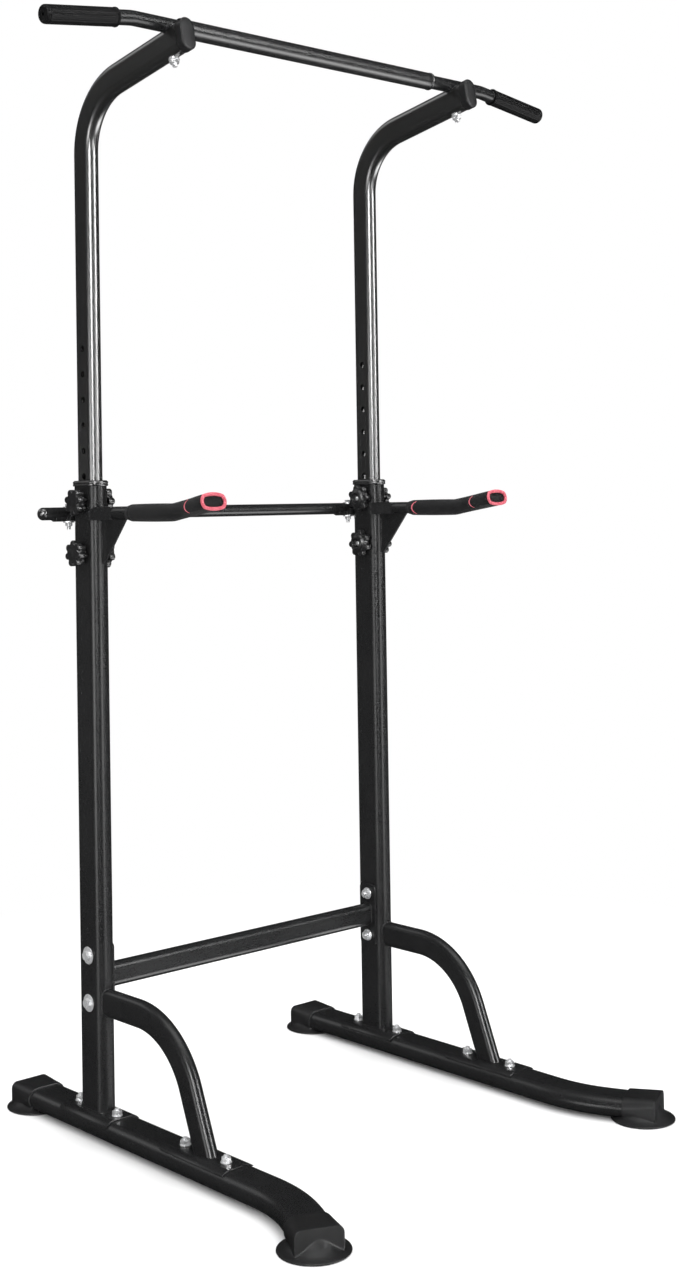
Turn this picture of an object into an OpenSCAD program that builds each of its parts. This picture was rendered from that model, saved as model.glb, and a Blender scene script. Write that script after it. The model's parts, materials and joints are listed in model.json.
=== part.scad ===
// Power tower: a free-standing pull-up and dip station.
// Two feet carry two uprights, a height-adjustable upper frame slides in the
// uprights and is held by four star-knob clamp bolts.
// Front is -Y, right is +X, up is +Z, and the floor is z = 0.

/* [Overall] */

// Distance between the centre planes of the two uprights
upright_spacing = 750; // [600:5:900]
// How far the uprights stand behind the middle of the feet
upright_y = 240; // [150:1:300]
// Top of the outer upright tubes above the floor
upright_top = 1258; // [1000:1:1500]

/* [Tubes] */

// Long side of the flat-oval foot and upright tubes
main_tube_l = 80; // [60:1:100]
// Short side of the flat-oval foot and upright tubes
main_tube_w = 40; // [30:1:50]
// Long side of the flat-oval sliding post tube
post_l = 60; // [50:1:70]
// Short side of the flat-oval sliding post tube
post_w = 30; // [22:1:34]
// Wall thickness of every steel tube
wall = 2; // [1.5:0.1:3]

/* [Feet] */

// Height of the foot tube's centre line above the floor
foot_z = 24; // [22:0.5:40]
// Distance from the upright back to the rear end of the foot tube
foot_rear = 246; // [180:1:320]
// Distance from the upright forward to where the foot starts to curve out
foot_straight = 508; // [400:1:650]
// Centre-line radius of the foot's outward curve
foot_bend_r = 300; // [150:5:500]
// Angle of the foot's outward curve
foot_bend_a = 25; // [0:1:40]
// Radius of the round flange under each rubber boot
boot_r = 63; // [50:0.5:75]
// Length of the rubber boot along the tube
boot_l = 66; // [50:1:90]
// Wall thickness of the rubber boot
boot_wall = 3; // [2:0.5:5]

/* [Braces and lower crossbar] */

// Height of the brace's centre line where it meets the upright
brace_z = 258; // [200:1:320]
// In-plane depth of the brace tube
brace_h = 54; // [40:1:60]
// Width of the brace tube across the foot
brace_w = 26; // [20:1:36]
// Centre-line radius of the brace's curve
brace_r = 168; // [120:1:220]
// Turning angle of the brace's curve
brace_a = 68; // [50:1:80]
// Distance from the upright's centre to where the brace starts to curve
brace_y = 140; // [80:1:180]
// Height of the lower crossbar's centre line
cross_z = 300; // [200:1:500]
// Height of the lower crossbar tube
cross_h = 49; // [40:1:60]
// Depth of the lower crossbar tube
cross_w = 25; // [20:1:30]
// Distance of each crossbar bolt above and below the centre line
cross_bolt = 46; // [38:1:60]

/* [Height adjustment] */

// Distance between neighbouring adjustment holes
hole_pitch = 50; // [25:5:60]
// Height of the upper clamp bolt, on a hole of the post
clamp_z = 1227; // [1100:1:1400]
// Diameter of the clamp bolts
clamp_d = 10; // [8:0.5:12]
// Diameter of the bolt holes
hole_d = 10.5; // [8.5:0.5:13]
// Diameter of the adjustment holes of the posts
post_hole_d = 12.5; // [10:0.5:14]
// Overall diameter of the outer star knobs
knob_d = 52; // [40:1:60]
// Overall diameter of the inner star nuts
nut_knob_d = 61; // [44:1:64]

/* [Upper frame] */

// Height of the bend centre of the sliding posts
bend_z = 1911; // [1700:1:2100]
// Centre-line radius of the post's forward bend
bend_r = 130; // [100:1:180]
// Upward slope of the arm after the bend
arm_slope = 10.3; // [0:0.1:25]
// Length of the straight arm after the bend
arm_l = 228; // [150:1:320]
// Distance of the pull-up bar in front of the uprights
bar_y = 278; // [220:1:400]
// Height of the pull-up bar's centre line
bar_z = 2104.5; // [1900:0.5:2200]
// Diameter of the pull-up bar tube
bar_d = 28; // [25:0.5:34]
// Distance from the middle to where the bar's ends bend down
bar_bend_x = 455; // [420:1:520]
// Downward slope of the bar's ends
bar_slope = 8; // [0:1:30]
// Diameter of the rubber grips on the pull-up bar
bar_grip_d = 35; // [31:0.5:40]
// Half length of the centre grip
centre_grip_x = 331; // [200:1:340]
// Distance the centre grip sits to the left of the middle
centre_grip_off = 24; // [0:1:60]

/* [Dip arms and rear bar] */

// Height of the dip arms and rear bar above the floor
dip_z = 1205; // [1000:1:1350]
// Diameter of the dip arm and rear bar tubes
dip_d = 25; // [22:0.5:32]
// Distance from the upright to where the dip arm bends up
dip_bend_y = 262; // [200:1:320]
// Upward slope of the dip arm's end
dip_slope = 9; // [0:1:25]
// Distance from the upright to the end of the dip grip
dip_end_y = 388; // [320:1:480]
// Diameter of the dip grips
dip_grip_d = 33; // [29:0.5:40]
// Width of the flared end of the dip grips
dip_flare = 58; // [33:1:70]
// Half length of the rear bar without its end plugs
rear_bar_x = 447; // [400:1:520]

/* [Hidden] */

$fn = 96;

// Clearance between fitted parts, and around parts that slide
gap = 0.1;
slide_gap = 0.2;
// Straight tube runs reach 1 mm into each bend and stand 0.02 mm proud of it
lap = 1;
proud = 0.02;
// How far cutters run past a face
over = 1;

half_spacing = upright_spacing / 2;
half_tube = main_tube_w / 2;
plate_t = 3;
saddle_top = foot_z + half_tube + gap + plate_t;
lower_clamp_z = clamp_z - 2 * hole_pitch;

// Fasteners of the feet, crossbar and pull-up bar
bolt_r = 5;
washer_bore_r = 5.1;
nut_bore_r = 5.05;
nut_flats = 17;
nut_h = 8;
// Length of the cutters for bolt holes
hole_l = 60;

steel = "#2b2c2e";
post_steel = "#3a3b3e";
rubber = "#1c1c1d";
chrome = "#c9ccd0";
knob_black = "#202122";
foam = "#303133";
accent = "#e27586";

// ---------- helpers ----------

// Mirrors the right-hand part to the left when side is negative
module sided(side) {
    if (side < 0) mirror([1, 0, 0]) children();
    else children();
}

// Upright's centre line at floor level; +X points away from the middle
module at_upright(side) sided(side) translate([half_spacing, upright_y, 0]) children();

module at_uprights() for (side = [-1, 1]) at_upright(side) children();

// Turns +Z to the front
module forward() rotate([90, 0, 0]) children();

// Turns +Z to +X
module outward() rotate([0, 90, 0]) children();

// Puts an outline's axes along Y and Z, and its extrusion along +X
module side_on() rotate([90, 0, 90]) children();

// Flat-oval outline
module oval(width, height) {
    wide = width > height;
    shift = wide ? [(width - height) / 2, 0] : [0, (height - width) / 2];
    square(wide ? [width - height, height] : [width, height - width], center = true);
    for (end = [1, -1]) translate(end * shift) circle(min(width, height) / 2);
}

// Tube outlines, grown by a margin on every side
module foot_oval(grow) oval(main_tube_l + 2 * grow, main_tube_w + 2 * grow);
module upright_oval(grow) oval(main_tube_w + 2 * grow, main_tube_l + 2 * grow);
module post_oval(grow) oval(post_w + 2 * grow, post_l + 2 * grow);
module brace_oval(grow) oval(brace_w + 2 * grow, brace_h + 2 * grow);
module cross_oval(grow) oval(cross_w + 2 * grow, cross_h + 2 * grow);

// Room for the upright in the parts that fit around it
module upright_cutter(bottom, height) translate([0, 0, bottom])
    linear_extrude(height) upright_oval(gap);

// Cutter across an upright or post at height z
module cross_hole(diameter, z) translate([-hole_l / 2, 0, z])
    outward() cylinder(r = diameter / 2, h = hole_l);

// Hexagonal prism along +Z from z = 0
module hex(flats, height) cylinder(d = flats / cos(30), h = height, $fn = 6);

// Washer along +Z from z = 0
module washer(outer_r, bore_r, height) difference() {
    cylinder(r = outer_r, h = height);
    translate([0, 0, -over]) cylinder(r = bore_r, h = height + 2 * over);
}

// Hexagon nut along +Z from z = 0
module nut(flats = nut_flats, bore_r = nut_bore_r, height = nut_h) difference() {
    hex(flats, height);
    translate([0, 0, -over]) cylinder(r = bore_r, h = height + 2 * over);
}

// ---------- feet ----------

// Distance from the tube's end to the centre of the boot's flange
boot_centre = 30;
// Thickness of the boot's end, and of its shell above and below the tube
boot_thick = boot_wall + 1;
boot_recess_r = 50;
// Extra length of the cutter that clears the tube's path
boot_clear = 60;
// Half section of the boot's flange: radius, height
boot_flange = [
    [0, 0], [boot_r, 0], [boot_r, 2.5], [53, 6.5],
    [44, 12], [37, 19], [33, foot_z + 3], [0, foot_z + 3]
];

// Straight length after the curve, so both boots reach equally far
foot_front = boot_centre - gap
    + (2 * upright_y + foot_rear - boot_centre - foot_straight - foot_bend_r * sin(foot_bend_a))
    / cos(foot_bend_a);

// Foot bolts' distances from the upright
upright_bolt_y = 62;
brace_foot_y = 337;
brace_bolt_y = 60;
foot_bolt_places = [
    upright_bolt_y, -upright_bolt_y,
    -brace_foot_y + brace_bolt_y, -brace_foot_y - brace_bolt_y
];

// Frame at the end of the foot's curve, -Y pointing along the tube
module at_foot_front() translate([foot_bend_r, -foot_straight, foot_z])
    rotate([0, 0, foot_bend_a]) translate([-foot_bend_r, 0, 0]) children();

// Foot's plan path, from the rear end to tail past the end of the curve
module foot_path(grow, rear, tail) {
    translate([0, rear, foot_z]) forward()
        linear_extrude(rear + foot_straight + lap) foot_oval(grow + proud);
    translate([foot_bend_r, -foot_straight, foot_z]) rotate([0, 0, 180])
        rotate_extrude(angle = foot_bend_a) translate([foot_bend_r, 0]) foot_oval(grow);
    at_foot_front() translate([0, lap, 0]) forward()
        linear_extrude(tail + lap) foot_oval(grow + proud);
}

module foot_bolt_spots() for (y = foot_bolt_places) translate([0, y, 0]) children();

module foot_bolt_holes() foot_bolt_spots() cylinder(r = hole_d / 2, h = hole_l);

module foot_tube(side) color(steel) at_upright(side) difference() {
    foot_path(0, foot_rear, foot_front);
    foot_path(-wall, foot_rear + over, foot_front + over);
    foot_bolt_holes();
}

// Rubber boot in its own frame: the tube enters from +Y and ends at y = 0
module boot() difference() {
    union() {
        translate([0, boot_l - boot_thick, foot_z]) forward() linear_extrude(boot_l)
            oval(main_tube_l + 2 * boot_wall, main_tube_w + 2 * boot_thick);
        translate([0, boot_centre, 0]) rotate_extrude() polygon(boot_flange);
    }
    translate([0, boot_l + boot_clear, foot_z]) forward()
        linear_extrude(boot_l + boot_clear) foot_oval(gap);
    // Recess in the sole
    translate([0, boot_centre, -over]) cylinder(r = boot_recess_r, h = 2 * over);
}

module boot_rear(side) color(rubber) at_upright(side)
    translate([0, foot_rear, 0]) mirror([0, 1, 0]) boot();

module boot_front(side) color(rubber) at_upright(side)
    at_foot_front() translate([0, -foot_front - gap, -foot_z]) boot();

// Plate over the foot tube; its edges lie edge_z above the tube's centre line
module saddle_plate(length, edge_z) translate([0, length / 2, foot_z]) forward()
    linear_extrude(length) intersection() {
        difference() {
            foot_oval(plate_t + gap);
            foot_oval(gap);
        }
        translate([-60, edge_z]) square([120, 40]);
    }

module upright_saddles() color(steel) at_uprights() difference() {
    saddle_plate(length = 160, edge_z = 13);
    foot_bolt_holes();
}

// ---------- uprights ----------

// Guide bush: depth in the tube, and height and overhang of its flange's two steps
collar_depth = 24;
collar_flange_h = 9;
collar_flange_out = 3;
collar_rim_h = 2;
collar_rim_out = 1;

module upright(side) color(steel) at_upright(side) difference() {
    translate([0, 0, saddle_top]) linear_extrude(upright_top - saddle_top) upright_oval(0);
    translate([0, 0, saddle_top - over]) linear_extrude(upright_top) upright_oval(-wall);
    for (z = [clamp_z, lower_clamp_z, cross_z + cross_bolt, cross_z - cross_bolt])
        cross_hole(hole_d, z);
}

// Plastic guide bush in the top of each upright
module post_collars() color(rubber) at_uprights() translate([0, 0, upright_top]) difference() {
    union() {
        translate([0, 0, -collar_depth]) linear_extrude(collar_depth + lap)
            upright_oval(-wall - gap);
        linear_extrude(collar_flange_h) upright_oval(collar_flange_out);
        translate([0, 0, collar_flange_h]) linear_extrude(collar_rim_h)
            upright_oval(collar_rim_out);
    }
    translate([0, 0, -30]) linear_extrude(60) post_oval(slide_gap);
}

// ---------- braces ----------

// How far the brace starts inside the upright's front face, before trimming
brace_root = 20;
// Length of the straight run after the curve, before trimming
brace_tail = 150;

module brace_path(grow, extra) {
    translate([0, -main_tube_l / 2 + brace_root, brace_z]) forward()
        linear_extrude(brace_y - main_tube_l / 2 + brace_root + lap) brace_oval(grow + proud);
    translate([0, -brace_y, brace_z - brace_r]) {
        rotate([180, -90, 0]) rotate_extrude(angle = brace_a)
            translate([brace_r, 0]) rotate(90) brace_oval(grow);
        rotate([brace_a, 0, 0]) translate([0, lap, brace_r]) forward()
            linear_extrude(brace_tail + extra + lap) brace_oval(grow + proud);
    }
}

module brace(side) color(steel) at_upright(side) difference() {
    brace_path(0, 0);
    brace_path(-wall, over);
    upright_cutter(0, 400);
    // Trims the lower end flush with the top of the brace plate
    translate([-50, -500, saddle_top + gap - 200]) cube([100, 460, 200]);
}

module brace_plates() color(steel) at_uprights() difference() {
    translate([0, -brace_foot_y, 0]) saddle_plate(length = 186, edge_z = 16);
    foot_bolt_holes();
}

// ---------- lower crossbar ----------

end_plate_t = 5;
end_plate_w = 48;
end_plate_h = 132;
end_corner_r = 8;
// Distance from the upright's centre plane to the inner face of the end plate
end_plate_face = half_tube + end_plate_t;
cross_x = half_spacing - end_plate_face;

cross_head_h = 6.4;
cross_washer_t = 2;
outer_cross_washer_r = 17;
inner_cross_washer_r = 12.5;
// How far the bolts stand out of the end plates
cross_bolt_out = 14;

module crossbar_tube() color(steel) translate([-cross_x, upright_y, cross_z])
    side_on() difference() {
        linear_extrude(2 * cross_x) cross_oval(0);
        translate([0, 0, -over]) linear_extrude(2 * (cross_x + over)) cross_oval(-wall);
    }

module crossbar_end_plates() color(steel) at_uprights()
    translate([-end_plate_face, 0, cross_z]) side_on() difference() {
        linear_extrude(end_plate_t) {
            square([end_plate_w, end_plate_h - 2 * end_corner_r], center = true);
            square([end_plate_w - 2 * end_corner_r, end_plate_h], center = true);
            for (x = [-1, 1], y = [-1, 1])
                translate([x * (end_plate_w / 2 - end_corner_r),
                           y * (end_plate_h / 2 - end_corner_r)]) circle(end_corner_r);
        }
        for (y = [-cross_bolt, cross_bolt])
            translate([0, y, -over]) cylinder(r = hole_d / 2, h = 20);
    }

// Stations of the crossbar bolts, +Z pointing away from the middle
module cross_spots() at_uprights() for (z = [-cross_bolt, cross_bolt])
    translate([0, 0, cross_z + z]) outward() children();

module crossbar_bolts() color(chrome) cross_spots() {
    translate([0, 0, half_tube + cross_washer_t]) hex(nut_flats, cross_head_h);
    translate([0, 0, -end_plate_face - cross_bolt_out]) cylinder(r = bolt_r,
        h = end_plate_face + cross_bolt_out + half_tube + cross_washer_t + lap);
}

module crossbar_washers() color(chrome) cross_spots() {
    translate([0, 0, half_tube]) washer(outer_cross_washer_r, washer_bore_r, cross_washer_t);
    translate([0, 0, -end_plate_face - cross_washer_t])
        washer(inner_cross_washer_r, washer_bore_r, cross_washer_t);
}

module crossbar_nuts() color(chrome) cross_spots()
    translate([0, 0, -end_plate_face - cross_washer_t - nut_h]) nut();

// ---------- foot fasteners ----------

foot_head_r = 10;
foot_head_z = 1;
foot_shank_z = 2;
// How far the bolts stand above the saddles and brace plates
foot_bolt_out = 14;
foot_washer_r = 10.5;
foot_washer_t = 1.6;

module foot_bolts() color(chrome) at_uprights() foot_bolt_spots() {
    translate([0, 0, foot_head_z])
        cylinder(r = foot_head_r, h = foot_z - half_tube - foot_head_z - gap);
    translate([0, 0, foot_shank_z])
        cylinder(r = bolt_r, h = saddle_top + foot_bolt_out - foot_shank_z);
}

module foot_washers() color(chrome) at_uprights() foot_bolt_spots()
    translate([0, 0, saddle_top]) washer(foot_washer_r, washer_bore_r, foot_washer_t);

module foot_nuts() color(chrome) at_uprights() foot_bolt_spots()
    translate([0, 0, saddle_top + foot_washer_t]) nut();

// ---------- dip arms ----------

dip_bend_r = 80;
// Straight length after the bend, up to the end of the grip
dip_tail = (dip_end_y - dip_bend_y - dip_bend_r * sin(dip_slope)) / cos(dip_slope);
// Distance from the tube's end to the grip's end
dip_tube_inset = 6;
// Where the arm's tube and its bore start in front of the upright's centre
dip_start_y = 30;
dip_bore_y = 47;

// Bracket that joins the arm to the upright
bracket_h = 24.8;
// Plan outline of the bracket's taper: x, y
bracket_taper = [[-23, -30], [23, -30], [12, -84], [-12, -84]];
// Side outlines of the bracket: y, height above the arm's centre line.
// The outer half tapers to a point and the inner half is blunt.
bracket_outer = [
    [-20, -2], [-26, 4], [-34, 9], [-42, 12], [-52, 13], [-101, 13],
    [-101, -13], [-24, -13], [-21.5, -11], [-20, -7]
];
bracket_inner = [
    [-20, 9], [-22, 12], [-25, 13], [-101, 13],
    [-101, -13], [-25, -13], [-22, -12], [-20, -9]
];

gusset_t = 4;
// Side outline of the gusset: distance in front of the upright's centre, z
gusset_outline = [
    [30, dip_z - 98], [46, dip_z - 98], [121, dip_z - 11], [121, dip_z], [30, dip_z]
];

// Rear end of the grip, and the cone it starts with
grip_y = 131;
grip_cone_l = 14;
grip_cone_t = 1.5;
// Length of the grip's widest part
flare_end_l = 12;
flare_out = (dip_flare - dip_grip_d) / 2;
// Sideways lean of the grip's flare
flare_a = atan(flare_out / (dip_tail - flare_end_l + lap));

rim_t = 2.5;
rim_w = 6;
band_t = 1.2;
// Distances of the bands from the upright and from the end of the arm's bend
rear_band_y = 152;
flare_band = 54;
// Sideways offset of the flare's side at the front bands
flare_x = (flare_band + lap) * tan(flare_a) + 0.25;

module dip_bend(radius) translate([0, -dip_bend_y, dip_z + dip_bend_r])
    rotate([90, 0, -90]) rotate([0, 0, -90])
        rotate_extrude(angle = dip_slope) translate([dip_bend_r, 0]) circle(radius);

// Frame at the end of the dip arm's bend, -Y pointing along the tube
module at_dip_end() translate([0, -dip_bend_y, dip_z + dip_bend_r])
    rotate([-dip_slope, 0, 0]) translate([0, 0, -dip_bend_r]) children();

// Follows the dip arm's centre line with a round section
module dip_path(radius, start, tail) {
    translate([0, -start, dip_z]) forward()
        cylinder(r = radius + proud, h = dip_bend_y - start + lap);
    dip_bend(radius);
    at_dip_end() translate([0, lap, 0]) forward() cylinder(r = radius + proud, h = tail + lap);
}

module dip_bracket() intersection() {
    translate([0, 0, dip_z - bracket_h / 2]) linear_extrude(bracket_h) intersection() {
        union() {
            upright_oval(plate_t + gap);
            polygon(bracket_taper);
        }
        translate([-40, -100]) square([80, 80]);
    }
    translate([0, 0, dip_z]) side_on() {
        linear_extrude(40) polygon(bracket_outer);
        translate([0, 0, -40]) linear_extrude(40) polygon(bracket_inner);
    }
}

module dip_arm(side) color(steel) at_upright(side) difference() {
    union() {
        dip_path(dip_d / 2, dip_start_y, dip_tail - dip_tube_inset);
        dip_bracket();
    }
    dip_path(dip_d / 2 - wall, dip_bore_y, dip_tail + 2);
    upright_cutter(dip_z - 50, 100);
}

module dip_gussets() color(steel) at_uprights() difference() {
    translate([gusset_t / 2, 0, 0]) rotate([90, 0, -90])
        linear_extrude(gusset_t) polygon(gusset_outline);
    upright_cutter(dip_z - 120, 200);
    dip_path(dip_d / 2 + gap, dip_start_y, 10);
    // Room for the bracket
    translate([-50, -110, dip_z - bracket_h / 2 - gap]) cube([100, 100, 40]);
}

module dip_grip(side) color(foam) at_upright(side) difference() {
    union() {
        translate([0, -grip_y, dip_z]) forward()
            cylinder(r1 = dip_d / 2 + grip_cone_t, r2 = dip_grip_d / 2, h = grip_cone_l);
        translate([0, -grip_y - grip_cone_l + lap, dip_z]) forward()
            cylinder(r = dip_grip_d / 2 + proud, h = dip_bend_y - grip_y - grip_cone_l + 2 * lap);
        dip_bend(dip_grip_d / 2);
        at_dip_end() hull() {
            translate([0, lap, 0]) forward() cylinder(r = dip_grip_d / 2 + 0.05, h = 30);
            for (x = [-1, 1]) translate([x * flare_out, -dip_tail + flare_end_l, 0])
                forward() cylinder(r = dip_grip_d / 2, h = flare_end_l);
        }
    }
    dip_path(dip_d / 2 + gap, 100, dip_tail - dip_tube_inset + gap);
}

module dip_grip_rims() color(accent) at_uprights() at_dip_end()
    translate([0, -dip_tail, 0]) forward() linear_extrude(rim_t) difference() {
        oval(dip_flare, dip_grip_d);
        oval(dip_flare - 2 * rim_w, dip_grip_d - 2 * rim_w);
    }

// Part ring around Z, centred on +X
module band(inner_r, angle, width) rotate([0, 0, -angle / 2])
    rotate_extrude(angle = angle) translate([inner_r, -width / 2]) square([band_t, width]);

// Thin bands: one on the grip's inner side, one on each side of its flare
module dip_grip_bands() color(accent) at_uprights() {
    translate([0, -rear_band_y, dip_z]) forward() rotate([0, 0, 180])
        band(inner_r = dip_grip_d / 2 + gap, angle = 124, width = 4);
    for (flip = [0, 1]) mirror([flip, 0, 0]) at_dip_end()
        translate([flare_x, -flare_band, 0]) rotate([0, 0, flare_a]) forward()
            band(inner_r = dip_grip_d / 2 + 3 * gap, angle = 100, width = 3);
}

// ---------- rear bar ----------

// Distance of the rear bar behind the upright's centre
rear_y = main_tube_l / 2 + plate_t + dip_d / 2 + 2 * gap;

plug_depth = 18;
cradle_l = 100;
// Tab from the cradle to the upright: front edge, depth and half width beside the upright
cradle_tab_y = 34;
cradle_tab_h = 12.9;
cradle_tab_x = 25;
// Blocks that narrow the tab
tab_cutter = [60, 50, 60];

rear_bolt_x = 14.5;
rear_bolt_r = 4;
rear_hole_r = 4.3;
rear_flats = 13;
rear_head_h = 5.3;
rear_nut_h = 6.5;
rear_nut_bore_r = 4.05;
rear_washer_r = 11;
rear_washer_bore_r = 4.1;
// Distance of the bolt heads above the bar
rear_head_lift = 1.5;
// Distance the washers' edges reach down past the bar's top or the cradle's bottom
rear_washer_drop = 2.5;
// How far the bolts stand out below the cradles
rear_bolt_out = 16;
cradle_bottom = -dip_d / 2 - plate_t;

// Middle of the rear bar
module at_rear_bar() translate([0, upright_y + rear_y, dip_z]) children();

// The rear bar's centre line, in the upright's frame
module at_cradle() translate([0, rear_y, dip_z]) children();

module cradle_bolt_spots() at_cradle()
    for (x = [-rear_bolt_x, rear_bolt_x]) translate([x, 0, 0]) children();

module cradle_bolt_holes() cradle_bolt_spots()
    translate([0, 0, -30]) cylinder(r = rear_hole_r, h = hole_l);

module rear_spots() at_uprights() cradle_bolt_spots() children();

module rear_bar() color(steel) difference() {
    at_rear_bar() translate([-rear_bar_x, 0, 0]) outward() difference() {
        cylinder(d = dip_d, h = 2 * rear_bar_x);
        translate([0, 0, -over]) cylinder(d = dip_d - 2 * wall, h = 2 * (rear_bar_x + over));
    }
    at_uprights() cradle_bolt_holes();
}

// Domed end plugs
module rear_bar_plugs() color(rubber) for (side = [-1, 1]) sided(side) at_rear_bar()
    translate([rear_bar_x, 0, 0]) outward() rotate_extrude() difference() {
        union() {
            translate([0, -plug_depth]) square([dip_d / 2 - wall - gap, plug_depth + 2]);
            intersection() {
                circle(dip_d / 2);
                square([20, 20]);
            }
        }
        translate([-20, -30]) square([20, 60]);
    }

// Half-round cradles under the bar, with tabs forward to the uprights
module rear_cradles() color(steel) at_uprights() difference() {
    at_cradle() translate([-cradle_l / 2, 0, 0]) side_on() linear_extrude(cradle_l) difference() {
        union() {
            circle(dip_d / 2 + plate_t + gap);
            translate([cradle_tab_y - rear_y, -cradle_tab_h])
                square([rear_y - cradle_tab_y, cradle_tab_h]);
        }
        circle(dip_d / 2 + gap);
        translate([-40, 0]) square([80, 40]);
    }
    upright_cutter(dip_z - 60, 120);
    cradle_bolt_holes();
    for (x = [-1, 1])
        translate([x * (cradle_tab_x + tab_cutter.x / 2), 20, dip_z - 15])
            cube(tab_cutter, center = true);
}

module rear_bar_bolts() color(chrome) rear_spots() {
    translate([0, 0, dip_d / 2 + rear_head_lift]) hex(rear_flats, rear_head_h);
    translate([0, 0, cradle_bottom - rear_bolt_out])
        cylinder(r = rear_bolt_r, h = dip_d + plate_t + rear_bolt_out + 2);
}

// Washer from height z, hollowed to sit against a round of radius seat_r
module seated_washer(z, height, seat_r) difference() {
    translate([0, 0, z]) cylinder(r = rear_washer_r, h = height);
    translate([0, 0, -30]) cylinder(r = rear_washer_bore_r, h = 80);
    translate([-30, 0, 0]) outward() cylinder(r = seat_r, h = 60);
}

module rear_bar_washers() color(chrome) rear_spots() {
    seated_washer(z = dip_d / 2 - rear_washer_drop, height = rear_washer_drop + rear_head_lift,
        seat_r = dip_d / 2 + gap);
    seated_washer(z = cradle_bottom - rear_washer_drop, height = 5,
        seat_r = dip_d / 2 + plate_t + 2 * gap);
}

module rear_bar_nuts() color(chrome) rear_spots()
    translate([0, 0, cradle_bottom - rear_washer_drop - rear_nut_h])
        nut(rear_flats, rear_nut_bore_r, rear_nut_h);

// ---------- sliding upper frame ----------

post_bottom = lower_clamp_z - 45;
post_hole_count = 9;
// Angle turned by the post's bend, and where the arm's centre line starts
arm_a = 90 - arm_slope;
arm_start_y = -bend_r + bend_r * cos(arm_a);
arm_start_z = bend_z + bend_r * sin(arm_a);
// Distance from the arm's centre line up to the bar's, square to the arm
bar_lift = (bar_z - arm_start_z - (bar_y + arm_start_y) * tan(arm_slope)) * cos(arm_slope);

// How far the glides reach below the posts and up them
glide_drop = 6;
glide_l = 30;
glide_lip = 4;

cap_l = 16;
cap_t = 1.5;
cap_end = 2;

// Follows the post's centre line with a flat-oval section
module post_path(grow, bottom, tail) {
    translate([0, 0, bottom]) linear_extrude(bend_z - bottom + lap) post_oval(grow + proud);
    translate([0, -bend_r, bend_z]) side_on() rotate_extrude(angle = arm_a)
        translate([bend_r, 0]) oval(post_l + 2 * grow, post_w + 2 * grow);
    at_arm() translate([0, lap, 0]) forward() linear_extrude(tail + lap) post_oval(grow + proud);
}

// Frame at the end of the post's bend, -Y pointing along the arm
module at_arm() translate([0, -bend_r, bend_z]) rotate([-arm_slope, 0, 0])
    translate([0, 0, bend_r]) children();

// Frame on the bar's centre line above the arm, -Z pointing through the arm
module at_bar_stud() translate([0, -bar_y, bar_z]) rotate([-arm_slope, 0, 0]) children();

// Room for the pull-up bar over an arm
module bar_cutter(clearance) translate([-40, -bar_y, bar_z])
    outward() cylinder(r = bar_d / 2 + clearance, h = 80);

module upper_post(side) color(post_steel) at_upright(side) difference() {
    post_path(0, post_bottom, arm_l);
    post_path(-wall, post_bottom - over, arm_l + over);
    for (i = [0:post_hole_count - 1]) cross_hole(post_hole_d, lower_clamp_z + i * hole_pitch);
    bar_cutter(gap);
    at_bar_stud() translate([0, 0, -80]) cylinder(r = hole_d / 2, h = hole_l);
}

// Plastic glides on the lower ends of the posts
module post_glides() color(rubber) at_uprights() translate([0, 0, post_bottom]) difference() {
    translate([0, 0, -glide_drop]) linear_extrude(glide_drop + glide_l)
        upright_oval(-wall - slide_gap);
    linear_extrude(60) post_oval(gap);
    translate([0, 0, -10]) linear_extrude(20) post_oval(-glide_lip);
}

module arm_caps() color(rubber) at_uprights() at_arm() translate([0, -arm_l, 0]) difference() {
    union() {
        translate([0, cap_l, 0]) forward() linear_extrude(cap_l + cap_end) post_oval(cap_t);
        translate([0, -cap_end, 0]) forward() linear_extrude(3) oval(post_w - 1, post_l);
    }
    translate([0, 40, 0]) forward() linear_extrude(40) post_oval(gap);
}

// ---------- pull-up bar ----------

bar_bend_r = 100;
// Distance from the middle to the bar's ends
bar_end_x = 648;
bar_tail = (bar_end_x - bar_bend_x - bar_bend_r * sin(bar_slope)) / cos(bar_slope);

// Raised rings on the grips: length, and height on the centre and end grips
ring_l = 5;
centre_ring_t = 1;
end_ring_t = 1.5;

// End grip: overall length, how far it passes the tube's end, rounding of its end
end_grip_l = 157;
end_grip_out = 4;
end_round_r = 10;
end_hole_r = 2;

stud_bottom = -80;
stud_top = -8;
stud_washer_r = 9.5;
stud_washer_t = 2;

// Frame at the end of the bar's bend, +X pointing along the tube
module at_bar_end() translate([bar_bend_x, 0, -bar_bend_r])
    rotate([0, bar_slope, 0]) translate([0, 0, bar_bend_r]) children();

// Middle of the bar
module at_bar() translate([0, upright_y - bar_y, bar_z]) children();

// Follows the bar's whole centre line with a round section
module bar_path(radius, tail) {
    translate([-bar_bend_x - lap, 0, 0]) outward()
        cylinder(r = radius + proud, h = 2 * (bar_bend_x + lap));
    for (side = [-1, 1]) sided(side) {
        translate([bar_bend_x, 0, -bar_bend_r]) forward() rotate([0, 0, 90 - bar_slope])
            rotate_extrude(angle = bar_slope) translate([bar_bend_r, 0]) circle(radius);
        at_bar_end() translate([-lap, 0, 0]) outward()
            cylinder(r = radius + proud, h = tail + lap);
    }
}

module pull_up_bar() color(steel) at_bar() difference() {
    bar_path(bar_d / 2, bar_tail);
    bar_path(bar_d / 2 - wall, bar_tail + over);
}

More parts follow.
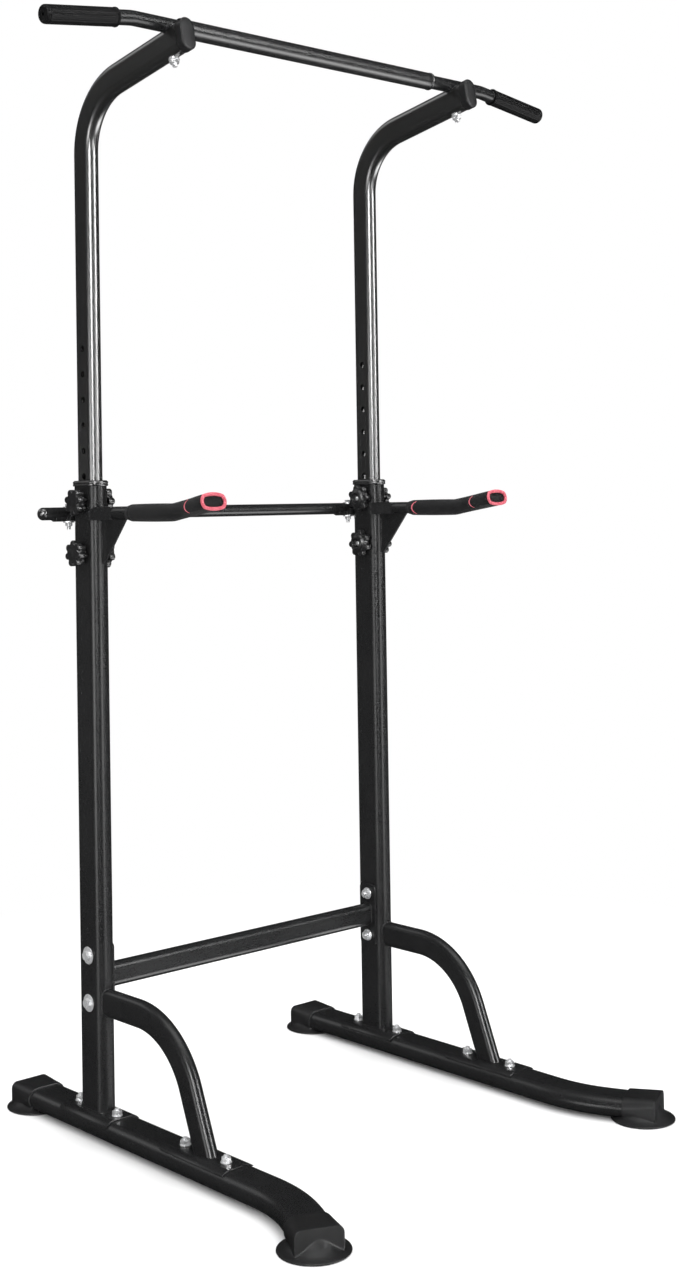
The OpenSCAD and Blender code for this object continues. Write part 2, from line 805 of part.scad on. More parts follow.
module bar_centre_grip() color(foam) at_bar()
    translate([-centre_grip_x - centre_grip_off, 0, 0]) outward() difference() {
        union() {
            cylinder(d = bar_grip_d, h = 2 * centre_grip_x);
            for (z = [0, 2 * centre_grip_x - ring_l])
                translate([0, 0, z]) cylinder(d = bar_grip_d + 2 * centre_ring_t, h = ring_l);
        }
        translate([0, 0, -over]) cylinder(r = bar_d / 2 + gap, h = 2 * (centre_grip_x + over));
    }

// Half section of the end grip: radius, distance along the bar past the tube's end
module end_grip_profile() {
    translate([0, end_grip_out - end_grip_l]) {
        square([bar_grip_d / 2, end_grip_l - end_round_r]);
        square([bar_grip_d / 2 + end_ring_t, ring_l]);
    }
    translate([0, -8]) square([bar_grip_d / 2 - 6, end_grip_out + 8]);
    translate([bar_grip_d / 2 - end_round_r, end_grip_out - end_round_r]) circle(end_round_r);
}

module bar_end_grip(side) color(foam) sided(side) at_bar() at_bar_end()
    translate([bar_tail, 0, 0]) outward() difference() {
        rotate_extrude() intersection() {
            end_grip_profile();
            translate([0, -200]) square([60, 300]);
        }
        translate([0, 0, -300]) cylinder(r = bar_d / 2 + gap, h = 300);
        translate([0, 0, -10]) cylinder(r = end_hole_r, h = 30);
    }

// Studs from the underside of the bar down through the arms
module bar_studs() color(chrome) at_uprights() difference() {
    at_bar_stud() translate([0, 0, stud_bottom])
        cylinder(r = bolt_r, h = stud_top - stud_bottom);
    bar_cutter(gap / 2);
}

// Frame where the stud leaves the underside of the arm
module under_arm() at_bar_stud() translate([0, 0, -bar_lift - post_l / 2]) children();

module bar_washers() color(chrome) at_uprights() under_arm() difference() {
    translate([0, 0, -stud_washer_t]) cylinder(r = stud_washer_r, h = 5);
    translate([0, 0, -10]) cylinder(r = washer_bore_r, h = 30);
    // Room for the arm
    translate([0, 60, post_l / 2]) forward() linear_extrude(120) post_oval(gap);
}

module bar_nuts() color(chrome) at_uprights() under_arm()
    translate([0, 0, -stud_washer_t - nut_h]) nut();

// ---------- clamp knobs ----------

star_lobes = 7;
clamp_washer_r = 11;
clamp_washer_t = 1.5;
clamp_bore_r = 5.06;
// Round base of the knobs and nuts: radius, and distance from the upright
knob_base_r = 13;
knob_base_z = 1.6;
// How far the clamp bolts reach inward and outward of the upright
clamp_reach_in = 18.5;
clamp_reach_out = 11.5;

// Frame of a clamp station, +Z pointing away from the middle
module at_clamp(side, z) at_upright(side) translate([0, 0, z]) outward() children();

// Outline of a star knob with lobes of radius lobe_r
module star(diameter, lobe_r) {
    circle(diameter / 2 - lobe_r * 1.05);
    for (i = [0:star_lobes - 1]) rotate(i * 360 / star_lobes)
        translate([diameter / 2 - lobe_r, 0]) circle(lobe_r, $fn = 40);
}

module clamp_bolt(side, z) color(knob_black) at_clamp(side, z) {
    translate([0, 0, half_tube]) {
        translate([0, 0, 13]) linear_extrude(12) star(knob_d, lobe_r = 6.4);
        translate([0, 0, 3]) linear_extrude(11) star(knob_d - 6, lobe_r = 5.6);
        translate([0, 0, knob_base_z]) cylinder(r = knob_base_r, h = 2);
    }
    translate([0, 0, -half_tube - clamp_reach_in])
        cylinder(d = clamp_d, h = main_tube_w + clamp_reach_in + clamp_reach_out);
}

module clamp_ring() washer(clamp_washer_r, clamp_bore_r, clamp_washer_t);

module clamp_washer(side, z) color(chrome) at_clamp(side, z)
    translate([0, 0, half_tube + gap / 2]) clamp_ring();

module clamp_inner_washers() color(chrome) for (side = [-1, 1], z = [clamp_z, lower_clamp_z])
    at_clamp(side, z) translate([0, 0, -half_tube - clamp_washer_t]) clamp_ring();

// Star nut on the inner side, with a tapered boss and a round recess in its face
module clamp_nut(side, z) color(knob_black) at_clamp(side, z)
    translate([0, 0, -half_tube - knob_base_z]) mirror([0, 0, 1]) difference() {
        union() {
            cylinder(r = knob_base_r, h = 3);
            translate([0, 0, 2]) linear_extrude(14) star(nut_knob_d, lobe_r = 6.8);
            translate([0, 0, 16]) cylinder(r1 = 20.5, r2 = 14, h = 6.6);
        }
        translate([0, 0, -over]) cylinder(r = clamp_bore_r, h = 40);
        translate([0, 0, 12]) cylinder(r = 10, h = 20);
    }

// ---------- nodes ----------

foot_tube(-1);  // foot_tube_left
foot_tube(1);  // foot_tube_right
boot_rear(-1);  // boot_rear_left
boot_rear(1);  // boot_rear_right
boot_front(-1);  // boot_front_left
boot_front(1);  // boot_front_right
upright(-1);  // upright_left
upright(1);  // upright_right
upright_saddles();
brace(-1);  // brace_left
brace(1);  // brace_right
brace_plates();
crossbar_tube();
crossbar_end_plates();
crossbar_bolts();
crossbar_washers();
crossbar_nuts();
foot_bolts();
foot_washers();
foot_nuts();
post_collars();
dip_arm(-1);  // dip_arm_left
dip_arm(1);  // dip_arm_right
dip_gussets();
dip_grip(-1);  // dip_grip_left
dip_grip(1);  // dip_grip_right
dip_grip_rims();
dip_grip_bands();
rear_bar();
rear_bar_plugs();
rear_cradles();
rear_bar_bolts();
rear_bar_washers();
rear_bar_nuts();
upper_post(-1);  // upper_post_left
upper_post(1);  // upper_post_right
post_glides();
arm_caps();
pull_up_bar();
bar_centre_grip();
bar_end_grip(-1);  // bar_end_grip_left
bar_end_grip(1);  // bar_end_grip_right
bar_studs();
bar_washers();
bar_nuts();
clamp_bolt(-1, clamp_z);  // clamp_bolt_left_upper
clamp_bolt(-1, lower_clamp_z);  // clamp_bolt_left_lower
clamp_bolt(1, clamp_z);  // clamp_bolt_right_upper
clamp_bolt(1, lower_clamp_z);  // clamp_bolt_right_lower
clamp_washer(-1, clamp_z);  // clamp_washer_left_upper
clamp_washer(-1, lower_clamp_z);  // clamp_washer_left_lower
clamp_washer(1, clamp_z);  // clamp_washer_right_upper
clamp_washer(1, lower_clamp_z);  // clamp_washer_right_lower
clamp_inner_washers();
clamp_nut(-1, clamp_z);  // clamp_nut_left_upper
clamp_nut(-1, lower_clamp_z);  // clamp_nut_left_lower
clamp_nut(1, clamp_z);  // clamp_nut_right_upper
clamp_nut(1, lower_clamp_z);  // clamp_nut_right_lower
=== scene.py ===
"""Free-standing pull-up and dip station: finishes, detailed parts and studio.

The scene is in metres: X runs across the station (left is -X), -Y is the front and Z is up,
with the floor at z = 0. Parts are modelled in millimetres. Most use the post frame: origin
at the foot of the right-hand upright's axis, +X outward; the left side is its mirror image.
"""
import json
import math

import bpy
from mathutils import Matrix, Vector


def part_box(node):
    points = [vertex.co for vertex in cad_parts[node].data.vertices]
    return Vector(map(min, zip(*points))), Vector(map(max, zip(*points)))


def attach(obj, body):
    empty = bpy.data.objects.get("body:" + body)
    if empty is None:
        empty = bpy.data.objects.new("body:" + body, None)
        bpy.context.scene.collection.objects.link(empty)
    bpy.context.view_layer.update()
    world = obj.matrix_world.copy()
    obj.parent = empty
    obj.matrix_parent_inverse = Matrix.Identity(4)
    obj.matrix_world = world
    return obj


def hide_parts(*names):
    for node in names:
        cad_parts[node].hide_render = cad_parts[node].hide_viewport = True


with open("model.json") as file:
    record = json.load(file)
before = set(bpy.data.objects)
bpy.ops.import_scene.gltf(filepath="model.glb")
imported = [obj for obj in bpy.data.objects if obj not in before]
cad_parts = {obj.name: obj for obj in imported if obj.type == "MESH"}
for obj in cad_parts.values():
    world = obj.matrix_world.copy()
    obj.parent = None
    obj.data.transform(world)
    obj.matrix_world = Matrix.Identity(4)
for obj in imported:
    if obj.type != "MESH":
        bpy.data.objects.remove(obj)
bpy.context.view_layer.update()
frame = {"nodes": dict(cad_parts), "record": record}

MM = 0.001
SIDES = ((-1, "left"), (1, "right"))


def vec(x, y, z):
    return Vector((x, y, z))


ORIGIN, OUTWARD, BACK, UP = vec(0, 0, 0), vec(1, 0, 0), vec(0, 1, 0), vec(0, 0, 1)


def middle(node, axis):
    """Middle of a CAD node's box along one axis, in mm."""
    low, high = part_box(node)
    return (low[axis] + high[axis]) / 2 * 1000


# ------------------------------------------------------------------ driving dimensions (mm)
# Scene frame
POST_X = middle("upright_right", 0)
POST_Y = middle("upright_right", 1)
POST_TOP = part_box("upright_right")[1].z * 1000
SADDLE_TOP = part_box("upright_saddles")[1].z * 1000
CLAMP_Z = {level: middle("clamp_washer_right_" + level, 2) for level in ("upper", "lower")}
DIP_Z = middle("rear_bar", 2)

# Post frame
POST_WIDTH, POST_DEPTH = 40, 80
REAR_BAR_Y = middle("rear_bar", 1) - POST_Y
REAR_BAR_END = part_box("rear_bar")[1].x * 1000 - POST_X
REAR_BAR_R = 12.5
CROSSBAR_Z, CROSSBAR_BOLT_OFFSET = 300, 46

# Pull-up bar: BAR_Y is in front of the post axis, BAR_BEND_X from the scene's centre
BAR_Y, BAR_Z = 278.0, 2104.5
BAR_BEND_X, BAR_BEND_R, BAR_SLOPE = 455.0, 100, math.radians(8)
BAR_END_X = 648

# Upper arms: bent forward from the posts, then straight and rising
ARM_WIDTH, ARM_HEIGHT, ARM_LENGTH = 30, 60, 228.0
ARM_BEND_R, ARM_BEND_Z = 130, 1911
ARM_RISE = math.radians(10.3)
ARM_BEND = math.radians(90 - 10.3)
ARM_UP = vec(0, math.sin(ARM_RISE), math.cos(ARM_RISE))
ARM_FORWARD = vec(0, -math.cos(ARM_RISE), math.sin(ARM_RISE))
ARM_START = vec(0, -ARM_BEND_R + ARM_BEND_R * math.cos(ARM_BEND),
                ARM_BEND_Z + ARM_BEND_R * math.sin(ARM_BEND))

# Foot tubes: end of the rear run, and the front bend that turns the tube outward
FOOT_REAR, FOOT_STRAIGHT, FOOT_FRONT = 246.0, 508.0, 97.443
FOOT_BEND_R, FOOT_TURN = 300.0, math.radians(25)

# Dip grips: distances in front of the post axis
DIP_GRIP_START, DIP_BEND_Y, DIP_END_Y = 131.0, 262.0, 388.0
DIP_BEND_R, DIP_SLOPE = 80, math.radians(9)


# ------------------------------------------------------------------ shader helpers
def add_node(tree, kind, inputs=None, **settings):
    """New node; each input is given a value or linked to a socket."""
    node = tree.nodes.new(kind)
    for key, value in settings.items():
        setattr(node, key, value)
    for key, value in (inputs or {}).items():
        if isinstance(value, bpy.types.NodeSocket):
            tree.links.new(value, node.inputs[key])
        else:
            node.inputs[key].default_value = value
    return node


def calculate(tree, operation, first, second=None):
    inputs = {0: first} if second is None else {0: first, 1: second}
    return add_node(tree, "ShaderNodeMath", inputs, operation=operation).outputs[0]


def colour_ramp(tree, factor, stops):
    node = add_node(tree, "ShaderNodeValToRGB", {0: factor})
    for element, (position, colour) in zip(node.color_ramp.elements, stops):
        element.position = position
        element.color = (*colour, 1)
    return node.outputs[0]


def remap(tree, value, from_range, to_range):
    return add_node(tree, "ShaderNodeMapRange", {
        "Value": value,
        "From Min": from_range[0], "From Max": from_range[1],
        "To Min": to_range[0], "To Max": to_range[1]}).outputs[0]


def empty_tree(owner):
    owner.use_nodes = True
    owner.node_tree.nodes.clear()
    return owner.node_tree


# ------------------------------------------------------------------ finishes
def wear_and_highlight_edges(tree, colour, fine, wear_and_highlight_colour, radius):
    """Mix the edge colour in where a bevelled normal leaves the true one: a painted edge highlight
    that also stands for wear.
    """
    bevel = add_node(tree, "ShaderNodeBevel", {"Radius": radius}, samples=4)
    geometry = add_node(tree, "ShaderNodeNewGeometry")
    agreement = add_node(tree, "ShaderNodeVectorMath",
                         {0: bevel.outputs[0], 1: geometry.outputs["Normal"]},
                         operation="DOT_PRODUCT").outputs["Value"]
    wear_and_highlight = remap(tree, agreement, from_range=(0.80, 0.995), to_range=(1.0, 0.0))
    patchy = remap(tree, fine, from_range=(0.35, 0.6), to_range=(0.35, 1.0))
    amount = calculate(tree, "MULTIPLY", wear_and_highlight, patchy)
    return add_node(tree, "ShaderNodeMix", {0: amount, 6: colour, 7: (*wear_and_highlight_colour, 1)},
                    data_type="RGBA").outputs[2]


def add_bump(tree, height, strength, distance, normal=None):
    inputs = {"Strength": strength, "Distance": distance, "Height": height}
    if normal is not None:
        inputs["Normal"] = normal
    return add_node(tree, "ShaderNodeBump", inputs).outputs[0]


def surface_normal(tree, coords, grain, grain_bump, cells, ripple, scratch):
    """Fine grain, then optional broad ripple and upright scratches."""
    if cells:
        height = add_node(tree, "ShaderNodeTexVoronoi",
                          {"Vector": coords, "Scale": grain}).outputs["Distance"]
    else:
        height = add_node(tree, "ShaderNodeTexNoise",
                          {"Vector": coords, "Scale": grain, "Detail": 3.0,
                           "Roughness": 0.6}).outputs["Fac"]
    normal = add_bump(tree, height, strength=grain_bump, distance=0.0001)
    if ripple:
        peel = add_node(tree, "ShaderNodeTexNoise",
                        {"Vector": coords, "Scale": 240.0, "Detail": 1.0})
        normal = add_bump(tree, peel.outputs["Fac"], ripple, distance=0.0002, normal=normal)
    if scratch:
        stretched = add_node(tree, "ShaderNodeMapping",
                             {"Vector": coords, "Scale": (900.0, 900.0, 40.0)})
        lines = add_node(tree, "ShaderNodeTexNoise",
                         {"Vector": stretched.outputs[0], "Scale": 1.0, "Detail": 2.0})
        normal = add_bump(tree, lines.outputs["Fac"], scratch, distance=0.0001, normal=normal)
    return normal


def finish(name, dark, light, roughness, specular, cloud, grain, grain_bump, metallic=0.0,
           coat=0.0, coat_roughness=0.1, coat_ior=1.5, cells=False, ripple=0.0, scratch=0.0,
           sheen=0.0, edge=None, edge_radius=0.0012, gloss_grain=0.03):
    """Painted, moulded or plated finish.

    cloud and grain are noise scales for the drifting colour and the fine grain; cells makes
    the grain cellular. roughness is a range that follows the cloud, and gloss_grain is how
    far the fine noise shifts it. edge is the lighter colour mixed in at edges: a painted
    edge highlight together with wear.
    """
    material = bpy.data.materials.new(name)
    tree = empty_tree(material)
    output = add_node(tree, "ShaderNodeOutputMaterial")
    coords = add_node(tree, "ShaderNodeTexCoord").outputs["Object"]
    broad = add_node(tree, "ShaderNodeTexNoise",
                     {"Vector": coords, "Scale": cloud, "Detail": 4.0,
                      "Roughness": 0.55}).outputs["Fac"]
    fine = add_node(tree, "ShaderNodeTexNoise",
                    {"Vector": coords, "Scale": grain * 0.35, "Detail": 2.0}).outputs["Fac"]
    colour = colour_ramp(tree, broad, [(0.32, dark), (0.70, light)])
    # Lighter edges: painted edge highlight together with wear.
    if edge is not None:
        colour = wear_and_highlight_edges(tree, colour, fine, edge, edge_radius)
    uneven = calculate(tree, "ADD",
                       remap(tree, broad, from_range=(0.3, 0.7), to_range=roughness),
                       remap(tree, fine, from_range=(0.3, 0.7),
                             to_range=(-gloss_grain, gloss_grain)))
    shader = add_node(tree, "ShaderNodeBsdfPrincipled", {
        "Base Color": colour,
        "Roughness": uneven,
        "Metallic": metallic,
        "Specular IOR Level": specular,
        "Coat Weight": coat,
        "Coat Roughness": coat_roughness,
        "Coat IOR": coat_ior,
        "Normal": surface_normal(tree, coords, grain, grain_bump, cells, ripple, scratch)})
    if sheen:
        shader.inputs["Sheen Weight"].default_value = sheen
        shader.inputs["Sheen Roughness"].default_value = 0.5
    tree.links.new(shader.outputs[0], output.inputs[0])
    return material


# The edge colours below are lighter than the body colours: painted edge highlights as well as
# wear.
FRAME_PAINT = finish(
    "powder_coat", dark=(0.0116, 0.0118, 0.0122), light=(0.0152, 0.0154, 0.0159),
    roughness=(0.277, 0.305), specular=0.5, cloud=9.0, grain=1500.0, grain_bump=0.3,
    edge=(0.050, 0.050, 0.053), ripple=0.06)
POST_PAINT = finish(
    "post_coat", dark=(0.0062, 0.0063, 0.0065), light=(0.0080, 0.0081, 0.0084),
    roughness=(0.279, 0.285), specular=1.0, coat=1.0, coat_roughness=0.28, coat_ior=2.2,
    cloud=7.0, grain=1200.0, grain_bump=0.01, gloss_grain=0.004)
PLATED = finish(
    "plated_steel", dark=(0.82, 0.83, 0.84), light=(0.95, 0.95, 0.96),
    roughness=(0.28, 0.32), metallic=0.65, specular=0.5, cloud=160.0, grain=3000.0,
    grain_bump=0.2, scratch=0.25, edge=(0.95, 0.95, 0.95), edge_radius=0.0004)
BOOT_RUBBER = finish(
    "boot_rubber", dark=(0.0110, 0.0110, 0.0115), light=(0.0155, 0.0155, 0.0160),
    roughness=(0.36, 0.48), specular=0.45, cloud=24.0, grain=1400.0, grain_bump=0.5,
    edge=(0.035, 0.035, 0.036), ripple=0.08)
BLACK_PLASTIC = finish(
    "black_plastic", dark=(0.0140, 0.0140, 0.0148), light=(0.0190, 0.0190, 0.0198),
    roughness=(0.280, 0.290), specular=1.0, coat=0.8, coat_roughness=0.28, coat_ior=2.0,
    cloud=30.0, grain=1800.0, grain_bump=0.1, edge=(0.04, 0.04, 0.042), gloss_grain=0.004)
ARM_CAP_PLASTIC = finish(
    "arm_cap_plastic", dark=(0.0110, 0.0110, 0.0116), light=(0.0150, 0.0150, 0.0157),
    roughness=(0.38, 0.44), specular=0.35, cloud=30.0, grain=1800.0, grain_bump=0.1,
    edge=(0.04, 0.04, 0.042), gloss_grain=0.01)
KNOB_PLASTIC = finish(
    "knob_plastic", dark=(0.0105, 0.0105, 0.0110), light=(0.0140, 0.0140, 0.0146),
    roughness=(0.29, 0.33), specular=0.9, cloud=60.0, grain=2200.0, grain_bump=0.2,
    edge=(0.034, 0.034, 0.036), edge_radius=0.0006, gloss_grain=0.015)
GRIP_FOAM = finish(
    "grip_foam", dark=(0.0075, 0.0075, 0.0080), light=(0.0112, 0.0112, 0.0118),
    roughness=(0.60, 0.74), specular=0.2, cloud=45.0, grain=1300.0, grain_bump=0.9,
    cells=True, sheen=0.06)
BAR_SLEEVE = finish(
    "bar_sleeve", dark=(0.0115, 0.0115, 0.0121), light=(0.0155, 0.0155, 0.0161),
    roughness=(0.28, 0.33), specular=1.0, cloud=40.0, grain=1500.0, grain_bump=0.5,
    cells=True)
END_GRIP = finish(
    "end_grip", dark=(0.0050, 0.0050, 0.0053), light=(0.0075, 0.0075, 0.0079),
    roughness=(0.40, 0.50), specular=0.15, cloud=40.0, grain=1500.0, grain_bump=0.5,
    cells=True)
ACCENT_RUBBER = finish(
    "accent_rubber", dark=(0.68, 0.105, 0.150), light=(0.84, 0.185, 0.235),
    roughness=(0.38, 0.52), specular=0.45, cloud=120.0, grain=1800.0, grain_bump=0.4,
    edge=(0.92, 0.36, 0.40), edge_radius=0.0010)

SLOT_FINISHES = {
    "frame_paint": FRAME_PAINT,
    "post_paint": POST_PAINT,
    "plated_steel": PLATED,
    "boot_rubber": BOOT_RUBBER,
    "black_plastic": BLACK_PLASTIC,
    "knob_plastic": KNOB_PLASTIC,
    "grip_foam": GRIP_FOAM,
    "accent_rubber": ACCENT_RUBBER,
}
for subpart in frame["record"]["subparts"]:
    cad_materials = frame["nodes"][subpart["node"]].data.materials
    cad_materials.clear()
    cad_materials.append(SLOT_FINISHES[subpart["material_slot"]])


# ------------------------------------------------------------------ mesh helpers
# Shapes are passed round as data: a (vertices, faces) pair.
def piece(name, data, material, body, sharp=None, replaces=()):
    """Smooth-shaded object from data in scene metres; sharp is an edge angle in degrees."""
    verts, faces = data
    mesh = bpy.data.meshes.new(name)
    mesh.from_pydata([tuple(v) for v in verts], [], faces)
    mesh.validate()
    mesh.update()
    obj = bpy.data.objects.new(name, mesh)
    bpy.context.scene.collection.objects.link(obj)
    mesh.materials.append(material)
    mesh.polygons.foreach_set("use_smooth", [True] * len(mesh.polygons))
    if sharp is not None:
        mesh.set_sharp_from_angle(angle=math.radians(sharp))
    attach(obj, body)
    if replaces:
        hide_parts(*replaces)


def place(data, mapping, flip=False):
    """Move every vertex through mapping; flip turns the faces over after a mirroring."""
    verts, faces = data
    if flip:
        faces = [tuple(reversed(face)) for face in faces]
    return [mapping(v) for v in verts], faces


def on_side(data, side):
    """Post frame in mm to the scene in metres, mirrored when side is -1."""
    def to_scene(p):
        return vec(side * (POST_X + p[0]), POST_Y + p[1], p[2]) * MM
    return place(data, to_scene, flip=side < 0)


def join(parts):
    verts, faces = [], []
    for part_verts, part_faces in parts:
        start = len(verts)
        verts += list(part_verts)
        faces += [tuple(i + start for i in face) for face in part_faces]
    return verts, faces


def both_sides(parts):
    return join([on_side(part, side) for side, _ in SIDES for part in parts])


def loft(rings, closed=False):
    """Skin between rings of equal count; closed joins last to first, else both are capped."""
    sides, count = len(rings[0]), len(rings)
    verts = [p for ring in rings for p in ring]
    faces = []
    for i in range(count if closed else count - 1):
        near, far = i * sides, (i + 1) % count * sides
        for j in range(sides):
            k = (j + 1) % sides
            faces.append((near + j, near + k, far + k, far + j))
    if not closed:
        faces.append(tuple(reversed(range(sides))))
        faces.append(tuple(range((count - 1) * sides, count * sides)))
    return verts, faces


def basis(axis, reference=None):
    """Two directions square to axis, the first as near reference as can be, and axis."""
    z = axis.normalized()
    x = reference or (OUTWARD if abs(z.x) < 0.9 else BACK)
    x = (x - z * x.dot(z)).normalized()
    return x, z.cross(x), z


def turns(sides):
    return [2 * math.pi * i / sides for i in range(sides)]


def revolve(profile, origin, axis, sides=48):
    """(radius, height) profile turned about axis; a radius of 0 is a single point."""
    x, y, z = basis(axis)
    verts, faces, rings = [], [], []
    for radius, height in profile:
        start = len(verts)
        if radius == 0:
            verts.append(origin + z * height)
        else:
            verts += [origin + z * height + x * (radius * math.cos(a)) + y * (radius * math.sin(a))
                      for a in turns(sides)]
        rings.append(range(start, len(verts)))
    for low, high in zip(rings, rings[1:]):
        for j in range(sides):
            k = (j + 1) % sides
            if len(low) == 1:
                faces.append((low[0], high[k], high[j]))
            elif len(high) == 1:
                faces.append((low[j], low[k], high[0]))
            else:
                faces.append((low[j], low[k], high[k], high[j]))
    return verts, faces


def revolve_loop(profile, origin, axis, sides=48):
    """Closed (radius, height) loop turned about axis: washers and collars."""
    x, y, z = basis(axis)
    rings = []
    for angle in turns(sides):
        radial = x * math.cos(angle) + y * math.sin(angle)
        rings.append([origin + z * height + radial * radius for radius, height in profile])
    return loft(rings, closed=True)


def constant(radius):
    return lambda angle: radius


def levels(rows, sides, origin, axis, reference, closed=False):
    """Rows of (height, radius as a function of angle) lofted along axis."""
    x, y, z = basis(axis, reference)
    rings = [[origin + z * height + (x * math.cos(a) + y * math.sin(a)) * radius_at(a)
              for a in turns(sides)] for height, radius_at in rows]
    return loft(rings, closed)


def flat_oval(width, length, sides, grow=0.0):
    """Outline of two half circles joined by straights, with length along the second axis."""
    width, length = width + 2 * grow, length + 2 * grow
    radius, shift = width / 2, (length - width) / 2
    points = []
    for i in range(sides):
        angle = 2 * math.pi * (i + 0.5) / sides
        sine = math.sin(angle)
        points.append((radius * math.cos(angle),
                       radius * sine + (shift if sine > 0 else -shift)))
    return points


def oval_loft(rows, width, length, origin, across, along, axis, closed=False):
    """Rows of (height, outward growth) of a flat oval lofted along axis."""
    rings = [[origin + axis * height + across * u + along * v
              for u, v in flat_oval(width, length, 96, grow)] for height, grow in rows]
    return loft(rings, closed)


def turned_yz(angle):
    return vec(0, math.cos(angle), math.sin(angle))


def turned_xy(angle):
    return vec(math.cos(angle), math.sin(angle), 0)


# ------------------------------------------------------------------ threads, nuts and washers
def hexagon_rows(across_flats, height, start):
    """Chamfered hexagon levels; start is the least height of the lower corner."""
    flat = across_flats / 2
    slope = math.tan(math.radians(30))

    def side(angle):
        nearest = (angle + math.pi / 6) % (math.pi / 3) - math.pi / 6
        return (flat - 0.25) / math.cos(nearest)

    def chamfer(angle):
        return max(0.12, (side(angle) - flat * 0.96) * slope)

    return [
        (lambda a: min(side(a), flat * 0.96), constant(0.0)),
        (side, chamfer if start is None else constant(start)),
        (side, lambda a: height - chamfer(a)),
        (lambda a: min(side(a), flat * 0.95), constant(height)),
    ]


def hexagon(rows, origin, axis, reference, closed):
    """Rows of (radius, height), both functions of angle."""
    x, y, z = basis(axis, reference)
    rings = [[origin + z * height_at(a) + (x * math.cos(a) + y * math.sin(a)) * radius_at(a)
              for a in turns(60)] for radius_at, height_at in rows]
    return loft(rings, closed)


def hex_nut(across_flats, height, bore, origin, axis, reference):
    """Nut chamfered on both faces, standing on origin along axis."""
    rows = [(constant(bore), constant(0.4)), (constant(bore + 0.5), constant(0.0))]
    rows += hexagon_rows(across_flats, height, start=None)
    rows += [(constant(bore + 0.5), constant(height)), (constant(bore), constant(height - 0.5))]
    return hexagon(rows, origin, axis, reference, closed=True)


def hex_head(across_flats, height, origin, axis, reference):
    """Bolt head chamfered on its outer face only, with a shallow dished top."""
    rows = hexagon_rows(across_flats, height, start=0.12)
    rows += [(constant(across_flats / 2 * 0.80), constant(height)),
             (constant(across_flats / 2 * 0.74), constant(height - 0.25))]
    return hexagon(rows, origin, axis, reference, closed=False)


def threaded_shank(origin, axis, radius, start, end, pitch=1.5):
    """Ridged shank from start to end along axis, with a chamfered tip at end."""
    depth, tip = 0.45, 0.9
    root = radius - depth
    profile = [(0, start), (root, start)]
    z = start
    while z + pitch < end - tip:
        profile += [(root, z + 0.1 * pitch), (radius, z + 0.45 * pitch),
                    (radius, z + 0.6 * pitch), (root, z + 0.95 * pitch)]
        z += pitch
    profile += [(radius - 0.2, end - tip), (radius - tip, end), (0, end)]
    return revolve(profile, origin, axis, sides=30)


def washer(outer, inner, height, origin, axis):
    edge = min(0.35, height * 0.3)
    profile = [(inner, edge), (inner + edge, 0), (outer - edge, 0), (outer, edge),
               (outer, height - edge), (outer - edge, height), (inner + edge, height),
               (inner, height - edge)]
    return revolve_loop(profile, origin, axis)


# ------------------------------------------------------------------ dip grips
DIP_STRAIGHT = DIP_BEND_Y - DIP_GRIP_START
DIP_ARC = DIP_BEND_R * DIP_SLOPE
SLOPE_SIN, SLOPE_COS = math.sin(DIP_SLOPE), math.cos(DIP_SLOPE)
DIP_TAIL = (DIP_END_Y - DIP_BEND_Y - DIP_BEND_R * SLOPE_SIN) / SLOPE_COS
GRIP_LENGTH = DIP_STRAIGHT + DIP_ARC + DIP_TAIL
GRIP_SIDES = 72
GRIP_ROOT_R, GRIP_R = 14.2, 16.5
GRIP_SWELL = 0.63                                   # extra radius at mid-length
FLARE_START, FLARE_END = GRIP_LENGTH - 86, GRIP_LENGTH - 10
FLARE_WIDTH = 12.5                                  # sideways shift of each half at the end
GRIP_GROOVES = (15.5, 17.5)                         # distances from the root

# Rings (distance, offset, push forward) that round the root
GRIP_ROOT_RINGS = [(0, -1.2, 0.6), (0.0, -0.4, 0.0), (0.8, 0.0, 0.0)]
# Rings (offset, push forward) that step down into the end face
GRIP_END_RINGS = [(-0.1, -1.0), (-1.0, -0.2), (-5.6, -0.2), (-6.2, -1.4), (-6.9, -2.0)]
GRIP_FACE_INSETS = (8.2, 10.0, 12.0, 14.0, 15.6)
# Rim loop (inset from the skin, push forward)
GRIP_RIM = [(0.25, -1.3), (-0.35, -0.5), (-0.35, 0.9), (0.3, 1.9), (1.5, 2.55),
            (3.2, 2.75), (4.9, 2.4), (6.0, 1.4), (6.3, 0.2), (6.3, -1.3)]


def clamp01(value):
    return max(0.0, min(1.0, value))


def ease(value):
    t = clamp01(value)
    return t * t * (3 - 2 * t)


def grip_frame(distance):
    """Point, up and forward on the grip's centre line, in the post frame."""
    if distance <= DIP_STRAIGHT:
        return vec(0, -DIP_GRIP_START - distance, DIP_Z), UP, -BACK
    distance -= DIP_STRAIGHT
    angle = min(distance / DIP_BEND_R, DIP_SLOPE)
    tail = max(0.0, distance - DIP_ARC)
    sine, cosine = math.sin(angle), math.cos(angle)
    point = vec(0, -DIP_BEND_Y - DIP_BEND_R * sine - tail * cosine,
                DIP_Z + DIP_BEND_R - DIP_BEND_R * cosine + tail * sine)
    return point, vec(0, sine, cosine), vec(0, -cosine, sine)


